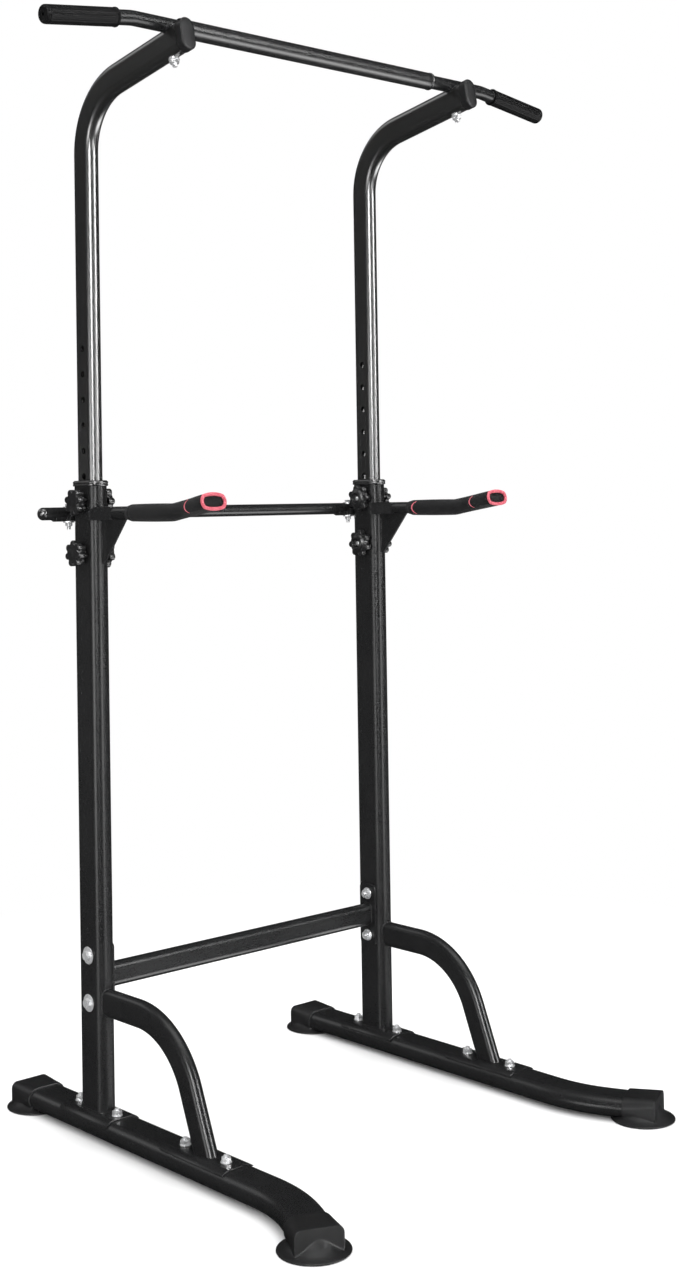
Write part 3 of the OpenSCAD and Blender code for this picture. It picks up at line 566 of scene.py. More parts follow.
def grip_point(distance, angle, offset=0.0, push=0.0):
    """Point on the grip's skin, moved out by offset and forward by push."""
    radius = GRIP_ROOT_R + (GRIP_R - GRIP_ROOT_R) * ease(distance / 13.0)
    swell = GRIP_SWELL * math.sin(math.pi * clamp01((distance - 16) / (GRIP_LENGTH - 120)))
    radius += swell * (1 - ease((distance - FLARE_START + 30) / 30)) + offset
    flare = FLARE_WIDTH * ease((distance - FLARE_START) / (FLARE_END - FLARE_START))
    cosine = math.cos(angle)
    across = radius * cosine + flare * max(-1.0, min(1.0, 1.55 * cosine))
    point, up, forward = grip_frame(distance)
    return point + OUTWARD * across + up * (radius * math.sin(angle)) + forward * push


GRIP_ANGLES = [2 * math.pi * (i + 0.5) / GRIP_SIDES for i in range(GRIP_SIDES)]


def grip_ring(distance, offset=0.0, push=0.0):
    return [grip_point(distance, angle, offset, push) for angle in GRIP_ANGLES]


def grip_body():
    rings = [grip_ring(*row) for row in GRIP_ROOT_RINGS]
    distance = 2.0
    while distance < GRIP_LENGTH - 4:
        groove = sum(0.55 * math.exp(-((distance - at) / 0.8) ** 2) for at in GRIP_GROOVES)
        rings.append(grip_ring(distance, -groove))
        distance += 1.0 if distance < 22 else 2.5
    rings += [grip_ring(GRIP_LENGTH, *row) for row in GRIP_END_RINGS]
    for inset in GRIP_FACE_INSETS:
        rings.append(grip_ring(GRIP_LENGTH, -inset, -2.0 + 1.3 * ease((inset - 6.9) / 6)))
    return loft(rings)


def grip_rim():
    rings = [[grip_point(GRIP_LENGTH, angle, -inset, push) for inset, push in GRIP_RIM]
             for angle in GRIP_ANGLES]
    return loft(rings, closed=True)


def grip_band(start, centre, half_angle, bow, width):
    """Slim tapering inlay whose ends lie bow further along the grip than its middle."""
    thick, steps = 0.55, 28
    rings = []
    for i in range(steps + 1):
        t = -1 + 2 * i / steps
        half = width * (1 - 0.65 * abs(t) ** 3) / 2
        section = ((-half, -0.5), (-half, thick * 0.55), (-half * 0.55, thick),
                   (half * 0.55, thick), (half, thick * 0.55), (half, -0.5))
        distance = start + bow * t * t
        rings.append([grip_point(distance + along, centre + half_angle * t, offset)
                      for along, offset in section])
    return loft(rings)


def grip_bands():
    """One band near the root on the inner side, and one on each side before the end."""
    bands = [grip_band(21.0, math.pi, half_angle=0.95, bow=9.0, width=3.4)]
    for centre in (0.0, math.pi):
        bands.append(grip_band(GRIP_LENGTH - 62, centre, half_angle=0.85, bow=10.0, width=3.2))
    return join(bands)


for side, tag in SIDES:
    piece("dip_grip_foam_" + tag, on_side(grip_body(), side), GRIP_FOAM, "base",
          sharp=50, replaces=["dip_grip_" + tag])
    piece("dip_grip_rim_" + tag, on_side(grip_rim(), side), ACCENT_RUBBER, "base",
          replaces=["dip_grip_rims"])
    piece("dip_grip_inlays_" + tag, on_side(grip_bands(), side), ACCENT_RUBBER, "base",
          replaces=["dip_grip_bands"])


# ------------------------------------------------------------------ pull-up bar grips
CENTRE_SLEEVE_HALF, CENTRE_SLEEVE_SHIFT = 331.0, -24.0
# Lip at each end of the centre sleeve (radius, distance from the end)
CENTRE_LIP = [(14.3, 0.6), (17.4, 0.0), (18.1, 0.7), (18.3, 1.8), (18.2, 4.0),
              (17.8, 5.2), (17.3, 5.9), (17.25, 7.0), (17.5, 8.2)]

END_GRIP_TUBE = 153.0                               # length of tube the end sleeve covers
END_GRIP_LENGTH = END_GRIP_TUBE + 4
FLUTES, FLUTE_DEPTH = 20, 0.5
# Inner lip of the end sleeve (radius, distance from its inner end)
END_LIP = [(14.3, 0.5), (17.2, 0.0), (18.0, 0.8), (18.2, 2.0), (18.0, 3.8),
           (17.5, 4.8), (17.0, 5.3), (16.9, 6.6), (17.3, 8.4)]
# Outer end of the end sleeve (radius, distance back from its outer end)
END_CAP = [(17.3, 8.6), (16.6, 8.0), (16.5, 7.2), (17.2, 6.6), (17.1, 5.0), (16.5, 3.2),
           (15.4, 1.8), (13.9, 0.9), (12.2, 0.45), (11.2, 0.5), (10.8, 1.5), (10.2, 1.7),
           (6.2, 1.2), (4.2, 0.9), (3.6, 1.2), (3.2, 4.0), (2.8, 7.0), (0.1, 7.2)]


def centre_sleeve():
    length = 2 * CENTRE_SLEEVE_HALF
    profile = CENTRE_LIP + [(17.5, 8.2 + (length - 16.4) * i / 60) for i in range(1, 60)]
    profile += [(radius, length - along) for radius, along in reversed(CENTRE_LIP)]
    start = vec(CENTRE_SLEEVE_SHIFT - CENTRE_SLEEVE_HALF, POST_Y - BAR_Y, BAR_Z)
    rows = [(along, constant(radius)) for radius, along in profile]
    return levels(rows, 72, start, OUTWARD, UP)


def fluted_radius(angle):
    return 17.4 - FLUTE_DEPTH * (0.5 - 0.5 * math.cos(FLUTES * angle))


def end_sleeve():
    """Sleeve on the sloping end of the bar, at +X in the scene frame."""
    bend_end = vec(BAR_BEND_X + BAR_BEND_R * math.sin(BAR_SLOPE), POST_Y - BAR_Y,
                   BAR_Z - BAR_BEND_R + BAR_BEND_R * math.cos(BAR_SLOPE))
    along_tube = vec(math.cos(BAR_SLOPE), 0, -math.sin(BAR_SLOPE))
    tail = (BAR_END_X - BAR_BEND_X - BAR_BEND_R * math.sin(BAR_SLOPE)) / math.cos(BAR_SLOPE)
    rows = [(along, constant(radius)) for radius, along in END_LIP]
    rows += [(8.4 + (END_GRIP_LENGTH - 18.0) * i / 50, fluted_radius) for i in range(1, 50)]
    rows += [(END_GRIP_LENGTH - from_end, constant(radius)) for radius, from_end in END_CAP]
    return levels(rows, 120, bend_end + along_tube * (tail - END_GRIP_TUBE), along_tube, BACK)


piece("bar_centre_sleeve", place(centre_sleeve(), lambda p: p * MM), BAR_SLEEVE,
      "upper_frame", sharp=50, replaces=["bar_centre_grip"])
for side, tag in SIDES:
    placed = place(end_sleeve(), lambda p: vec(side * p.x, p.y, p.z) * MM, flip=side < 0)
    piece("bar_end_sleeve_" + tag, placed, END_GRIP, "upper_frame", sharp=42,
          replaces=["bar_end_grip_" + tag])


# ------------------------------------------------------------------ star knobs
LOBES = 7
KNOB_SIDES = 168
CLAMP_WASHER = {"outer": 11.0, "inner": 5.1, "height": 1.5}


def star_radius(angle, diameter, lobe):
    """Round lobes on a disc, with the hollows between them softened."""
    centre = diameter / 2 - lobe
    disc = diameter / 2 - lobe * 1.05
    step = 2 * math.pi / LOBES
    nearest = (angle + step / 2) % step - step / 2
    inside = lobe * lobe - (centre * math.sin(nearest)) ** 2
    reach = centre * math.cos(nearest) + math.sqrt(inside) if inside > 0 else 0.0
    high, low = max(reach, disc), min(reach, disc)
    soft = 2.2
    if high - low < soft:
        high += soft * (1 - (high - low) / soft) ** 2 * 0.22
    return high


def blend(first, second, amount):
    return lambda angle: first(angle) * (1 - amount) + second(angle) * amount


def knob_head_rows():
    """Outer knob: ribbed neck below a seven-lobed head, as (height, radius function)."""
    def star(scale=1.0, inset=0.0):
        return lambda a: star_radius(a, 52.0, 6.4) * scale - inset

    def ribs(scale=1.0):
        valley, crest = 14.6, 22.8
        return lambda a: (valley + (crest - valley)
                          * (0.5 + 0.5 * math.cos(LOBES * a)) ** 1.5) * scale

    disc = constant
    return [
        (21.7, disc(5.2)), (21.7, disc(12.2)), (22.1, disc(12.9)), (22.8, disc(12.9)),
        (23.1, ribs(0.90)), (23.5, ribs(0.96)), (24.4, ribs()), (28.0, ribs()),
        (31.6, ribs()), (32.5, blend(ribs(), star(), 0.25)),
        (32.9, blend(ribs(), star(), 0.75)), (33.1, star(0.975)), (33.6, star(0.995)),
        (34.6, star()), (39.0, star()), (42.6, star()), (43.6, star(inset=0.3)),
        (44.4, star(inset=1.0)), (44.85, star(inset=2.0)), (45.0, star(inset=3.2)),
        (44.95, star(0.80)), (44.7, star(0.75)), (44.65, star(0.62)), (44.65, disc(10.5)),
        (44.85, disc(9.6)), (44.9, disc(5.0)), (44.95, disc(1.2)),
    ]


def knob_nut_rows():
    """Inner knob: seven-lobed skirt, domed hub and open bore, as (height, radius function)."""
    def star(scale=1.0, inset=0.0):
        return lambda a: star_radius(a + 0.3, 61.0, 6.8) * scale - inset

    disc = constant
    return [
        (21.7, disc(5.3)), (21.7, disc(12.2)), (22.1, disc(12.9)), (23.3, disc(13.0)),
        (23.6, blend(disc(15.0), star(), 0.6)), (23.9, star(0.95)), (24.5, star(0.985)),
        (25.6, star()), (30.0, star()), (34.6, star()), (35.9, star(inset=0.25)),
        (36.9, star(inset=0.9)), (37.5, star(inset=2.0)),
        (37.75, blend(disc(21.2), star(), 0.66)), (37.9, blend(disc(21.0), star(), 0.3)),
        (38.2, disc(20.6)), (39.0, disc(20.0)), (40.2, disc(19.2)), (41.4, disc(18.1)),
        (42.5, disc(16.7)), (43.4, disc(15.0)), (44.0, disc(13.2)), (44.2, disc(11.8)),
        (44.1, disc(10.9)), (43.5, disc(10.3)), (42.2, disc(10.1)), (36.4, disc(9.9)),
        (36.0, disc(9.4)), (36.0, disc(6.4)), (35.6, disc(5.3)),
    ]


def knob_screw(centre):
    """Screw through the post, threaded at its inner end."""
    profile = [(0, -38.5), (3.9, -38.5), (4.9, -37.5)]
    for k in range(19):
        x = k * 1.5
        profile += [(4.45, -36.9 + x), (4.95, -36.4 + x), (4.95, -36.1 + x), (4.45, -35.6 + x)]
    profile += [(4.95, -7.5), (4.95, 21.6), (0, 21.6)]
    return revolve(profile, centre, OUTWARD, sides=36)


def clamp(side, key, centre, head_turn, nut_turn):
    """Outer knob with its screw, inner knob and outer washer."""
    head = levels(knob_head_rows(), KNOB_SIDES, centre, OUTWARD, turned_yz(head_turn))
    piece("knob_head_" + key, on_side(head, side), KNOB_PLASTIC, "bolt_" + key,
          sharp=60, replaces=["clamp_bolt_" + key])
    piece("knob_screw_" + key, on_side(knob_screw(centre), side), PLATED, "bolt_" + key,
          sharp=40)
    nut = levels(knob_nut_rows(), KNOB_SIDES, centre, -OUTWARD, turned_yz(nut_turn),
                 closed=True)
    piece("knob_nut_" + key, on_side(nut, side), KNOB_PLASTIC, "nut_" + key,
          sharp=60, replaces=["clamp_nut_" + key])
    ring = washer(origin=centre + OUTWARD * 20.05, axis=OUTWARD, **CLAMP_WASHER)
    piece("knob_washer_" + key, on_side(ring, side), PLATED, "washer_" + key,
          sharp=40, replaces=["clamp_washer_" + key])


for side, tag in SIDES:
    for level, head_turn, nut_turn in (("upper", 0.25, 0.1), ("lower", 0.62, 0.5)):
        clamp(side, tag + "_" + level, vec(0, 0, CLAMP_Z[level]), head_turn, nut_turn)

inner_washers = [washer(origin=vec(-21.5, 0, z), axis=OUTWARD, **CLAMP_WASHER)
                 for z in CLAMP_Z.values()]
piece("inner_washers", both_sides(inner_washers), PLATED, "base", sharp=40,
      replaces=["clamp_inner_washers"])


# ------------------------------------------------------------------ bolts, washers and nuts
M10_R, M10_FLATS, M10_NUT = 4.95, 17, 8             # shank radius, flats, nut height
M8_R, M8_FLATS, M8_NUT, M8_PITCH = 3.95, 13, 6.5, 1.25

CROSSBAR_BOLTS = [vec(0, 0, CROSSBAR_Z + offset)
                  for offset in (-CROSSBAR_BOLT_OFFSET, CROSSBAR_BOLT_OFFSET)]
FOOT_BOLT_Y = (62, -62, -277, -397)
REAR_BOLTS = [vec(x, REAR_BAR_Y, DIP_Z) for x in (-14.5, 14.5)]
REAR_LOWER_SEAT = REAR_BAR_R + 3                    # washer seat below the bar's axis
STUD_ORIGIN = vec(0, -BAR_Y, BAR_Z)
# Distance from the bar's axis to the arm's underside, square to the arm
ARM_UNDERSIDE = ((BAR_Z - ARM_START.z - (BAR_Y + ARM_START.y) * math.tan(ARM_RISE))
                 * math.cos(ARM_RISE) + ARM_HEIGHT / 2)

# Washer and collar loops (radius, height)
DOMED_WASHER = [(5.1, 0.0), (16.4, 0.0), (17.0, 0.5), (16.7, 1.1), (14.5, 1.75),
                (10.5, 2.0), (5.6, 2.0), (5.1, 1.6)]
FOOT_WASHER = [(5.1, 0.0), (10.2, 0.0), (10.5, 0.4), (10.4, 1.1), (9.8, 1.6),
               (5.5, 1.6), (5.1, 1.2)]
FOOT_NUT_COLLAR = [(8.2, 0.0), (9.7, 0.0), (9.7, 0.7), (8.6, 1.5), (8.2, 1.5)]
REAR_TOP_WASHER = [(4.1, -2.3), (10.6, -2.3), (11.0, -1.8), (11.0, 1.0), (10.5, 1.5),
                   (4.5, 1.5), (4.1, 1.2)]
REAR_LOW_WASHER = [(4.1, -1.5), (10.6, -1.5), (11.0, -1.0), (11.0, 2.0), (10.5, 2.5),
                   (4.5, 2.5), (4.1, 2.2)]
STUD_WASHER = [(5.1, -2.6), (9.0, -2.6), (9.5, -2.0), (9.5, 1.5), (9.1, 2.0),
               (5.5, 2.0), (5.1, 1.6)]
STUD_NUT_COLLAR = [(8.2, 0.0), (10.4, 0.0), (10.4, 0.8), (8.8, 1.7), (8.2, 1.7)]
# Low round bolt head under the foot tube (radius, height)
FOOT_HEAD = [(0, 1.0), (8.6, 1.0), (9.8, 1.7), (10.0, 2.8), (10.0, 4.0), (0, 4.0)]


def crossbar_bolts():
    parts = []
    for origin in CROSSBAR_BOLTS:
        parts.append(hex_head(M10_FLATS, 6.4, origin + OUTWARD * (POST_WIDTH / 2 + 2),
                              OUTWARD, turned_yz(0.2 + origin.z)))
        parts.append(threaded_shank(origin, -OUTWARD, M10_R, -21.9, 38.8))
    return parts


def crossbar_washers():
    parts = []
    for origin in CROSSBAR_BOLTS:
        parts.append(revolve_loop(DOMED_WASHER, origin + OUTWARD * (POST_WIDTH / 2),
                                  OUTWARD, sides=60))
        parts.append(washer(12.5, M10_R + 0.15, 2.0, origin - OUTWARD * 25, -OUTWARD))
    return parts


def crossbar_nuts():
    return [hex_nut(M10_FLATS, M10_NUT, 5.0, origin - OUTWARD * 27, -OUTWARD,
                    turned_yz(origin.z * 0.7)) for origin in CROSSBAR_BOLTS]


def foot_bolts():
    parts = []
    for y in FOOT_BOLT_Y:
        parts.append(revolve(FOOT_HEAD, vec(0, y, 0), UP, sides=36))
        parts.append(threaded_shank(vec(0, y, 0), UP, M10_R, 3.9, SADDLE_TOP + 14))
    return parts


def foot_washers():
    return [revolve_loop(FOOT_WASHER, vec(0, y, SADDLE_TOP), UP) for y in FOOT_BOLT_Y]


def foot_nuts():
    parts = []
    for k, y in enumerate(FOOT_BOLT_Y):
        origin = vec(0, y, SADDLE_TOP + 1.6)
        parts.append(hex_nut(M10_FLATS, M10_NUT, 5.0, origin, UP, turned_xy(0.35 + 0.8 * k)))
        parts.append(revolve_loop(FOOT_NUT_COLLAR, origin, UP))
    return parts


def rear_bolts():
    parts = []
    for origin in REAR_BOLTS:
        parts.append(hex_head(M8_FLATS, 5.3, origin + UP * (REAR_BAR_R + 1.5), UP,
                              turned_xy(origin.x)))
        parts.append(threaded_shank(origin, -UP, M8_R, -REAR_BAR_R - 1.6,
                                    REAR_LOWER_SEAT + 16, M8_PITCH))
    return parts


def rear_washers():
    parts = []
    for origin in REAR_BOLTS:
        parts.append(revolve_loop(REAR_TOP_WASHER, origin + UP * REAR_BAR_R, UP))
        parts.append(revolve_loop(REAR_LOW_WASHER, origin - UP * REAR_LOWER_SEAT, -UP))
    return parts


def rear_nuts():
    return [hex_nut(M8_FLATS, M8_NUT, 4.0, origin - UP * (REAR_LOWER_SEAT + 2.5), -UP,
                    turned_xy(origin.x)) for origin in REAR_BOLTS]


def bar_studs():
    return [threaded_shank(STUD_ORIGIN, -ARM_UP, M10_R, 14.2, 80.0)]


def bar_washers():
    return [revolve_loop(STUD_WASHER, STUD_ORIGIN - ARM_UP * ARM_UNDERSIDE, -ARM_UP, sides=44)]


def bar_nuts():
    origin = STUD_ORIGIN - ARM_UP * (ARM_UNDERSIDE + 2.0)
    return [hex_nut(M10_FLATS, M10_NUT, 5.0, origin, -ARM_UP, turned_xy(0.4)),
            revolve_loop(STUD_NUT_COLLAR, origin, -ARM_UP)]


# (object, builder, body, CAD node it replaces)
FASTENERS = (
    ("crossbar_bolt_set", crossbar_bolts, "base", "crossbar_bolts"),
    ("crossbar_washer_set", crossbar_washers, "base", "crossbar_washers"),
    ("crossbar_nut_set", crossbar_nuts, "base", "crossbar_nuts"),
    ("foot_bolt_set", foot_bolts, "base", "foot_bolts"),
    ("foot_washer_set", foot_washers, "base", "foot_washers"),
    ("foot_nut_set", foot_nuts, "base", "foot_nuts"),
    ("rear_bolt_set", rear_bolts, "base", "rear_bar_bolts"),
    ("rear_washer_set", rear_washers, "base", "rear_bar_washers"),
    ("rear_nut_set", rear_nuts, "base", "rear_bar_nuts"),
    ("bar_stud_set", bar_studs, "upper_frame", "bar_studs"),
    ("bar_washer_set", bar_washers, "upper_frame", "bar_washers"),
    ("bar_nut_set", bar_nuts, "upper_frame", "bar_nuts"),
)
for name, build, body, node in FASTENERS:
    piece(name, both_sides(build()), PLATED, body, sharp=30, replaces=[node])


# ------------------------------------------------------------------ rubber boots
# Boot frame: the tube enters from +Y and ends at y = 0, with the floor at z = 0.
BOOT_LENGTH = 66.0
# Sleeve sections (y, half width, bottom, top, corner radius)
BOOT_SLEEVE = [
    (BOOT_LENGTH - 3.4, 42.2, 1.6, 46.6, 21.6), (BOOT_LENGTH - 4.0, 43.0, 0.9, 47.4, 22.4),
    (BOOT_LENGTH - 8, 43.2, 0.8, 47.6, 22.2), (BOOT_LENGTH - 24, 43.2, 0.8, 47.8, 20.5),
    (24, 43.2, 0.8, 48.0, 17.5), (10, 43.3, 0.8, 48.0, 15.0), (2, 43.3, 0.8, 48.0, 13.5),
    (-1.2, 43.2, 0.8, 48.0, 13.0), (-2.6, 42.0, 1.2, 46.9, 12.4), (-3.0, 40.0, 2.0, 45.0, 11.0),
]
# Round flange under the sleeve (radius, height)
BOOT_FLANGE = [(0, 0.0), (63.0, 0.0), (63.0, 2.4), (60.5, 3.4), (55.0, 5.6), (49.5, 8.6),
               (44.5, 12.6), (40.4, 17.4), (37.0, 22.5), (34.0, 27.2), (30.5, 31.0), (0, 33.0)]
BOOT_BEAD_R = 1.25


def boot_section(y, half_width, bottom, top, corner, sides=96):
    """Rounded rectangle across the boot."""
    shift_x, shift_z = half_width - corner, (top - bottom) / 2 - corner
    centre = (bottom + top) / 2
    points = []
    for i in range(sides):
        angle = 2 * math.pi * (i + 0.5) / sides
        cosine, sine = math.cos(angle), math.sin(angle)
        points.append(vec(corner * cosine + (shift_x if cosine > 0 else -shift_x), y,
                          centre + corner * sine + (shift_z if sine > 0 else -shift_z)))
    return points


def boot_bead():
    """Raised bead round the end face."""
    outline = boot_section(-2.2, 42.0, 1.2, 46.9, 12.4, sides=120)
    rings = []
    for i, point in enumerate(outline):
        tangent = (outline[(i + 1) % len(outline)] - outline[i - 1]).normalized()
        across = tangent.cross(BACK).normalized()
        rings.append([point + BACK * (BOOT_BEAD_R * math.cos(k * math.pi / 4))
                      + across * (BOOT_BEAD_R * math.sin(k * math.pi / 4)) for k in range(8)])
    return loft(rings, closed=True)


def fused(data, voxel, relax_steps):
    """Voxel-fuse overlapping closed shells into one skin and relax it."""
    verts, faces = data
    mesh = bpy.data.meshes.new("tmp")
    mesh.from_pydata([tuple(v) for v in verts], [], faces)
    obj = bpy.data.objects.new("tmp", mesh)
    bpy.context.scene.collection.objects.link(obj)
    remesh = obj.modifiers.new("remesh", "REMESH")
    remesh.mode = "VOXEL"
    remesh.voxel_size = voxel
    remesh.adaptivity = 0.0
    relax = obj.modifiers.new("relax", "SMOOTH")
    relax.factor = 0.5
    relax.iterations = relax_steps
    evaluated = obj.evaluated_get(bpy.context.evaluated_depsgraph_get())
    result = evaluated.to_mesh()
    fused_verts = [v.co.copy() for v in result.vertices]
    fused_faces = [tuple(p.vertices) for p in result.polygons]
    evaluated.to_mesh_clear()
    bpy.data.objects.remove(obj)
    bpy.data.meshes.remove(mesh)
    return fused_verts, fused_faces


def boot_placing(end, side):
    """Boot frame to the scene in metres, for the rear or front end of a foot tube."""
    def to_scene(p):
        if end == "rear":
            x, y = p[0], FOOT_REAR - p[1]
        else:
            along = p[1] - FOOT_FRONT - 0.1
            across = p[0] - FOOT_BEND_R
            cosine, sine = math.cos(FOOT_TURN), math.sin(FOOT_TURN)
            x = FOOT_BEND_R + cosine * across - sine * along
            y = -FOOT_STRAIGHT + sine * across + cosine * along
        return vec(side * (POST_X + x), POST_Y + y, max(0.0, p[2])) * MM
    return to_scene


BOOT = fused(join([loft([boot_section(*row) for row in BOOT_SLEEVE]),
                   revolve(BOOT_FLANGE, vec(0, 30, 0), UP, sides=120),
                   boot_bead()]), voxel=1.35, relax_steps=3)
for end in ("rear", "front"):
    for side, tag in SIDES:
        # The rear placing is itself a mirror image
        placed = place(BOOT, boot_placing(end, side), flip=(side < 0) != (end == "rear"))
        piece(f"boot_{end}_{tag}_rubber", placed, BOOT_RUBBER, "base",
              replaces=[f"boot_{end}_{tag}"])


# ------------------------------------------------------------------ collars, arm caps and plugs
# Post collar loop (height above the post's top, growth from the post's outline)
COLLAR = [(-24, -2.4), (0.05, -2.4), (0.05, 1.8), (0.5, 2.6), (1.4, 3.0), (3.6, 3.0),
          (4.3, 2.3), (5.0, 2.2), (5.6, 2.8), (6.4, 3.1), (8.2, 3.0), (9.2, 2.3), (9.8, 1.2),
          (10.4, 0.8), (11.0, -0.4), (11.0, -3.6), (10.4, -4.5), (-24, -4.75)]
# Arm cap (distance past the arm's end, growth from the arm's outline)
ARM_CAP = [(-15.8, 0.15), (-15.8, 0.9), (-15.3, 1.3), (-14, 1.45), (-1, 1.5), (0.6, 1.4),
           (1.5, 0.9), (2.1, 0.0), (2.5, -1.3), (2.8, -3.2), (3.0, -6.0), (3.12, -10.0),
           (3.15, -13.5)]
# Rear bar plug (radius, distance past the bar's end)
REAR_PLUG = [(0, -18), (10.3, -18), (10.4, -0.1), (12.3, 0.0), (12.6, 0.5), (12.6, 2.2),
             (12.2, 4.6), (11.2, 7.0), (9.4, 9.2), (7.0, 10.9), (4.0, 12.0), (1.5, 12.4),
             (0, 12.45)]

collar = oval_loft([(POST_TOP + height, grow) for height, grow in COLLAR],
                   POST_WIDTH, POST_DEPTH, ORIGIN, OUTWARD, BACK, UP, closed=True)
piece("post_collar_set", both_sides([collar]), BLACK_PLASTIC, "base",
      sharp=35, replaces=["post_collars"])

arm_cap = oval_loft([(ARM_LENGTH + past, grow) for past, grow in ARM_CAP],
                    ARM_WIDTH, ARM_HEIGHT, ARM_START, OUTWARD, ARM_UP, ARM_FORWARD)
piece("arm_cap_set", both_sides([arm_cap]), ARM_CAP_PLASTIC, "upper_frame",
      sharp=50, replaces=["arm_caps"])

rear_plug = revolve(REAR_PLUG, vec(REAR_BAR_END, REAR_BAR_Y, DIP_Z), OUTWARD)
piece("rear_plug_set", both_sides([rear_plug]), BLACK_PLASTIC, "base",
      sharp=50, replaces=["rear_bar_plugs"])


# ------------------------------------------------------------------ welds
# Upper edge of the dip arm's yoke on the outer side (y, height above the arm's axis)
YOKE_TOP = [(-20, -2), (-26, 4), (-34, 9), (-42, 12.4)]
YOKE_EDGE = 12.8                                    # other yoke edges, from the arm's axis
BRACE_Z = 258.0


def dense(points, closed=True, step=0.9):
    """Path subdivided so that its points lie about step apart."""
    count = len(points)
    path = []
    for i in range(count if closed else count - 1):
        start, end = points[i], points[(i + 1) % count]
        pieces = max(1, int((end - start).length / step))
        path += [start + (end - start) * (j / pieces) for j in range(pieces)]
    if not closed:
        path.append(points[-1])
    return path


def weld_bead(points, radius, closed=True, phase=0.0, up=UP):
    """Rippled round rope along a path; the ends of an open one taper."""
    path = dense(points, closed)
    count = len(path)
    rings = []
    length = 0.0
    for i, point in enumerate(path):
        if closed:
            ahead, behind = path[(i + 1) % count], path[i - 1]
        else:
            ahead, behind = path[min(count - 1, i + 1)], path[max(0, i - 1)]
        if i:
            length += (point - path[i - 1]).length
        across, other, _ = basis(ahead - behind, up)
        ripple = (1 + 0.16 * math.sin(length * 2 * math.pi / 3.4 + phase)
                  + 0.10 * math.sin(length * 0.37 + 1.7 * phase))
        local = radius * ripple
        if not closed:
            local *= math.sqrt(min(1.0, 4.0 * min(i + 0.3, count - 0.7 - i) / count + 0.2))
        rings.append([point + across * (local * math.cos(k * math.pi / 4))
                      + other * (local * math.sin(k * math.pi / 4)) for k in range(8)])
    return loft(rings, closed)


def post_foot_weld():
    outline = flat_oval(POST_WIDTH, POST_DEPTH, 96, grow=0.5)
    return weld_bead([vec(x, y, SADDLE_TOP + 0.4) for x, y in outline], 1.9, phase=0.3)


def crossbar_weld():
    outline = flat_oval(25, 49, 72, grow=0.4)
    return weld_bead([vec(-25.3, y, CROSSBAR_Z + z) for y, z in outline], 1.7, phase=1.3,
                     up=OUTWARD)


def brace_weld():
    """Oval bead lying on the post's round front."""
    points = []
    for x, z in flat_oval(26, 54, 96, grow=0.3):
        y = -(20 + math.sqrt(20.2 ** 2 - x * x))
        points.append(vec(x, y - 0.5, BRACE_Z + z))
    return weld_bead(points, 1.8, phase=2.1, up=-BACK)


def yoke_top(y):
    for (y0, z0), (y1, z1) in zip(YOKE_TOP, YOKE_TOP[1:]):
        if y1 <= y <= y0:
            return z0 + (z1 - z0) * (y - y0) / (y1 - y0) + 0.8
    return YOKE_EDGE


def yoke_weld(upper):
    """Bead round the post's front, along the yoke's upper or lower edge."""
    points = []
    for i in range(4, 61):
        angle = math.pi + math.pi * i / 60
        x, y = 20.3 * math.cos(angle), -20 + 20.3 * math.sin(angle)
        height = -YOKE_EDGE
        if upper:
            height = yoke_top(y) if x > 0 else YOKE_EDGE
        points.append(vec(x, y, DIP_Z + height))
    return weld_bead(points, 1.2, closed=False, phase=0.7 if upper else 1.9)


def gusset_welds(x):
    """Beads on one face of the gusset: up the post, then under the arm."""
    post_line = [vec(x, -40.2, DIP_Z - 95), vec(x, -40.2, DIP_Z - 15.4)]
    arm_line = [vec(x, -86, DIP_Z - 12.9), vec(x, -119, DIP_Z - 12.9)]
    return [weld_bead(post_line, 1.2, closed=False, phase=x, up=-BACK),
            weld_bead(arm_line, 1.1, closed=False, phase=x + 1)]


welds = [post_foot_weld(), crossbar_weld(), brace_weld(), yoke_weld(True), yoke_weld(False),
         *gusset_welds(-2.2), *gusset_welds(2.2)]
piece("weld_beads", both_sides(welds), FRAME_PAINT, "base")


# ------------------------------------------------------------------ softened edges on CAD nodes
EDGE_WIDTHS = {
    "upright_saddles": 0.7,
    "brace_plates": 0.7,
    "crossbar_end_plates": 0.9,
    "dip_gussets": 0.6,
    "rear_cradles": 0.5,
    "post_glides": 0.5,
}
for node_name, width in EDGE_WIDTHS.items():
    cad_modifiers = frame["nodes"][node_name].modifiers
    merge = cad_modifiers.new("weld", "WELD")
    merge.merge_threshold = 0.00001
    edge = cad_modifiers.new("edge", "BEVEL")
    edge.width = width * MM
    edge.segments = 2
    edge.limit_method = "ANGLE"
    edge.angle_limit = math.radians(40)
    edge.harden_normals = False
    edge.use_clamp_overlap = True


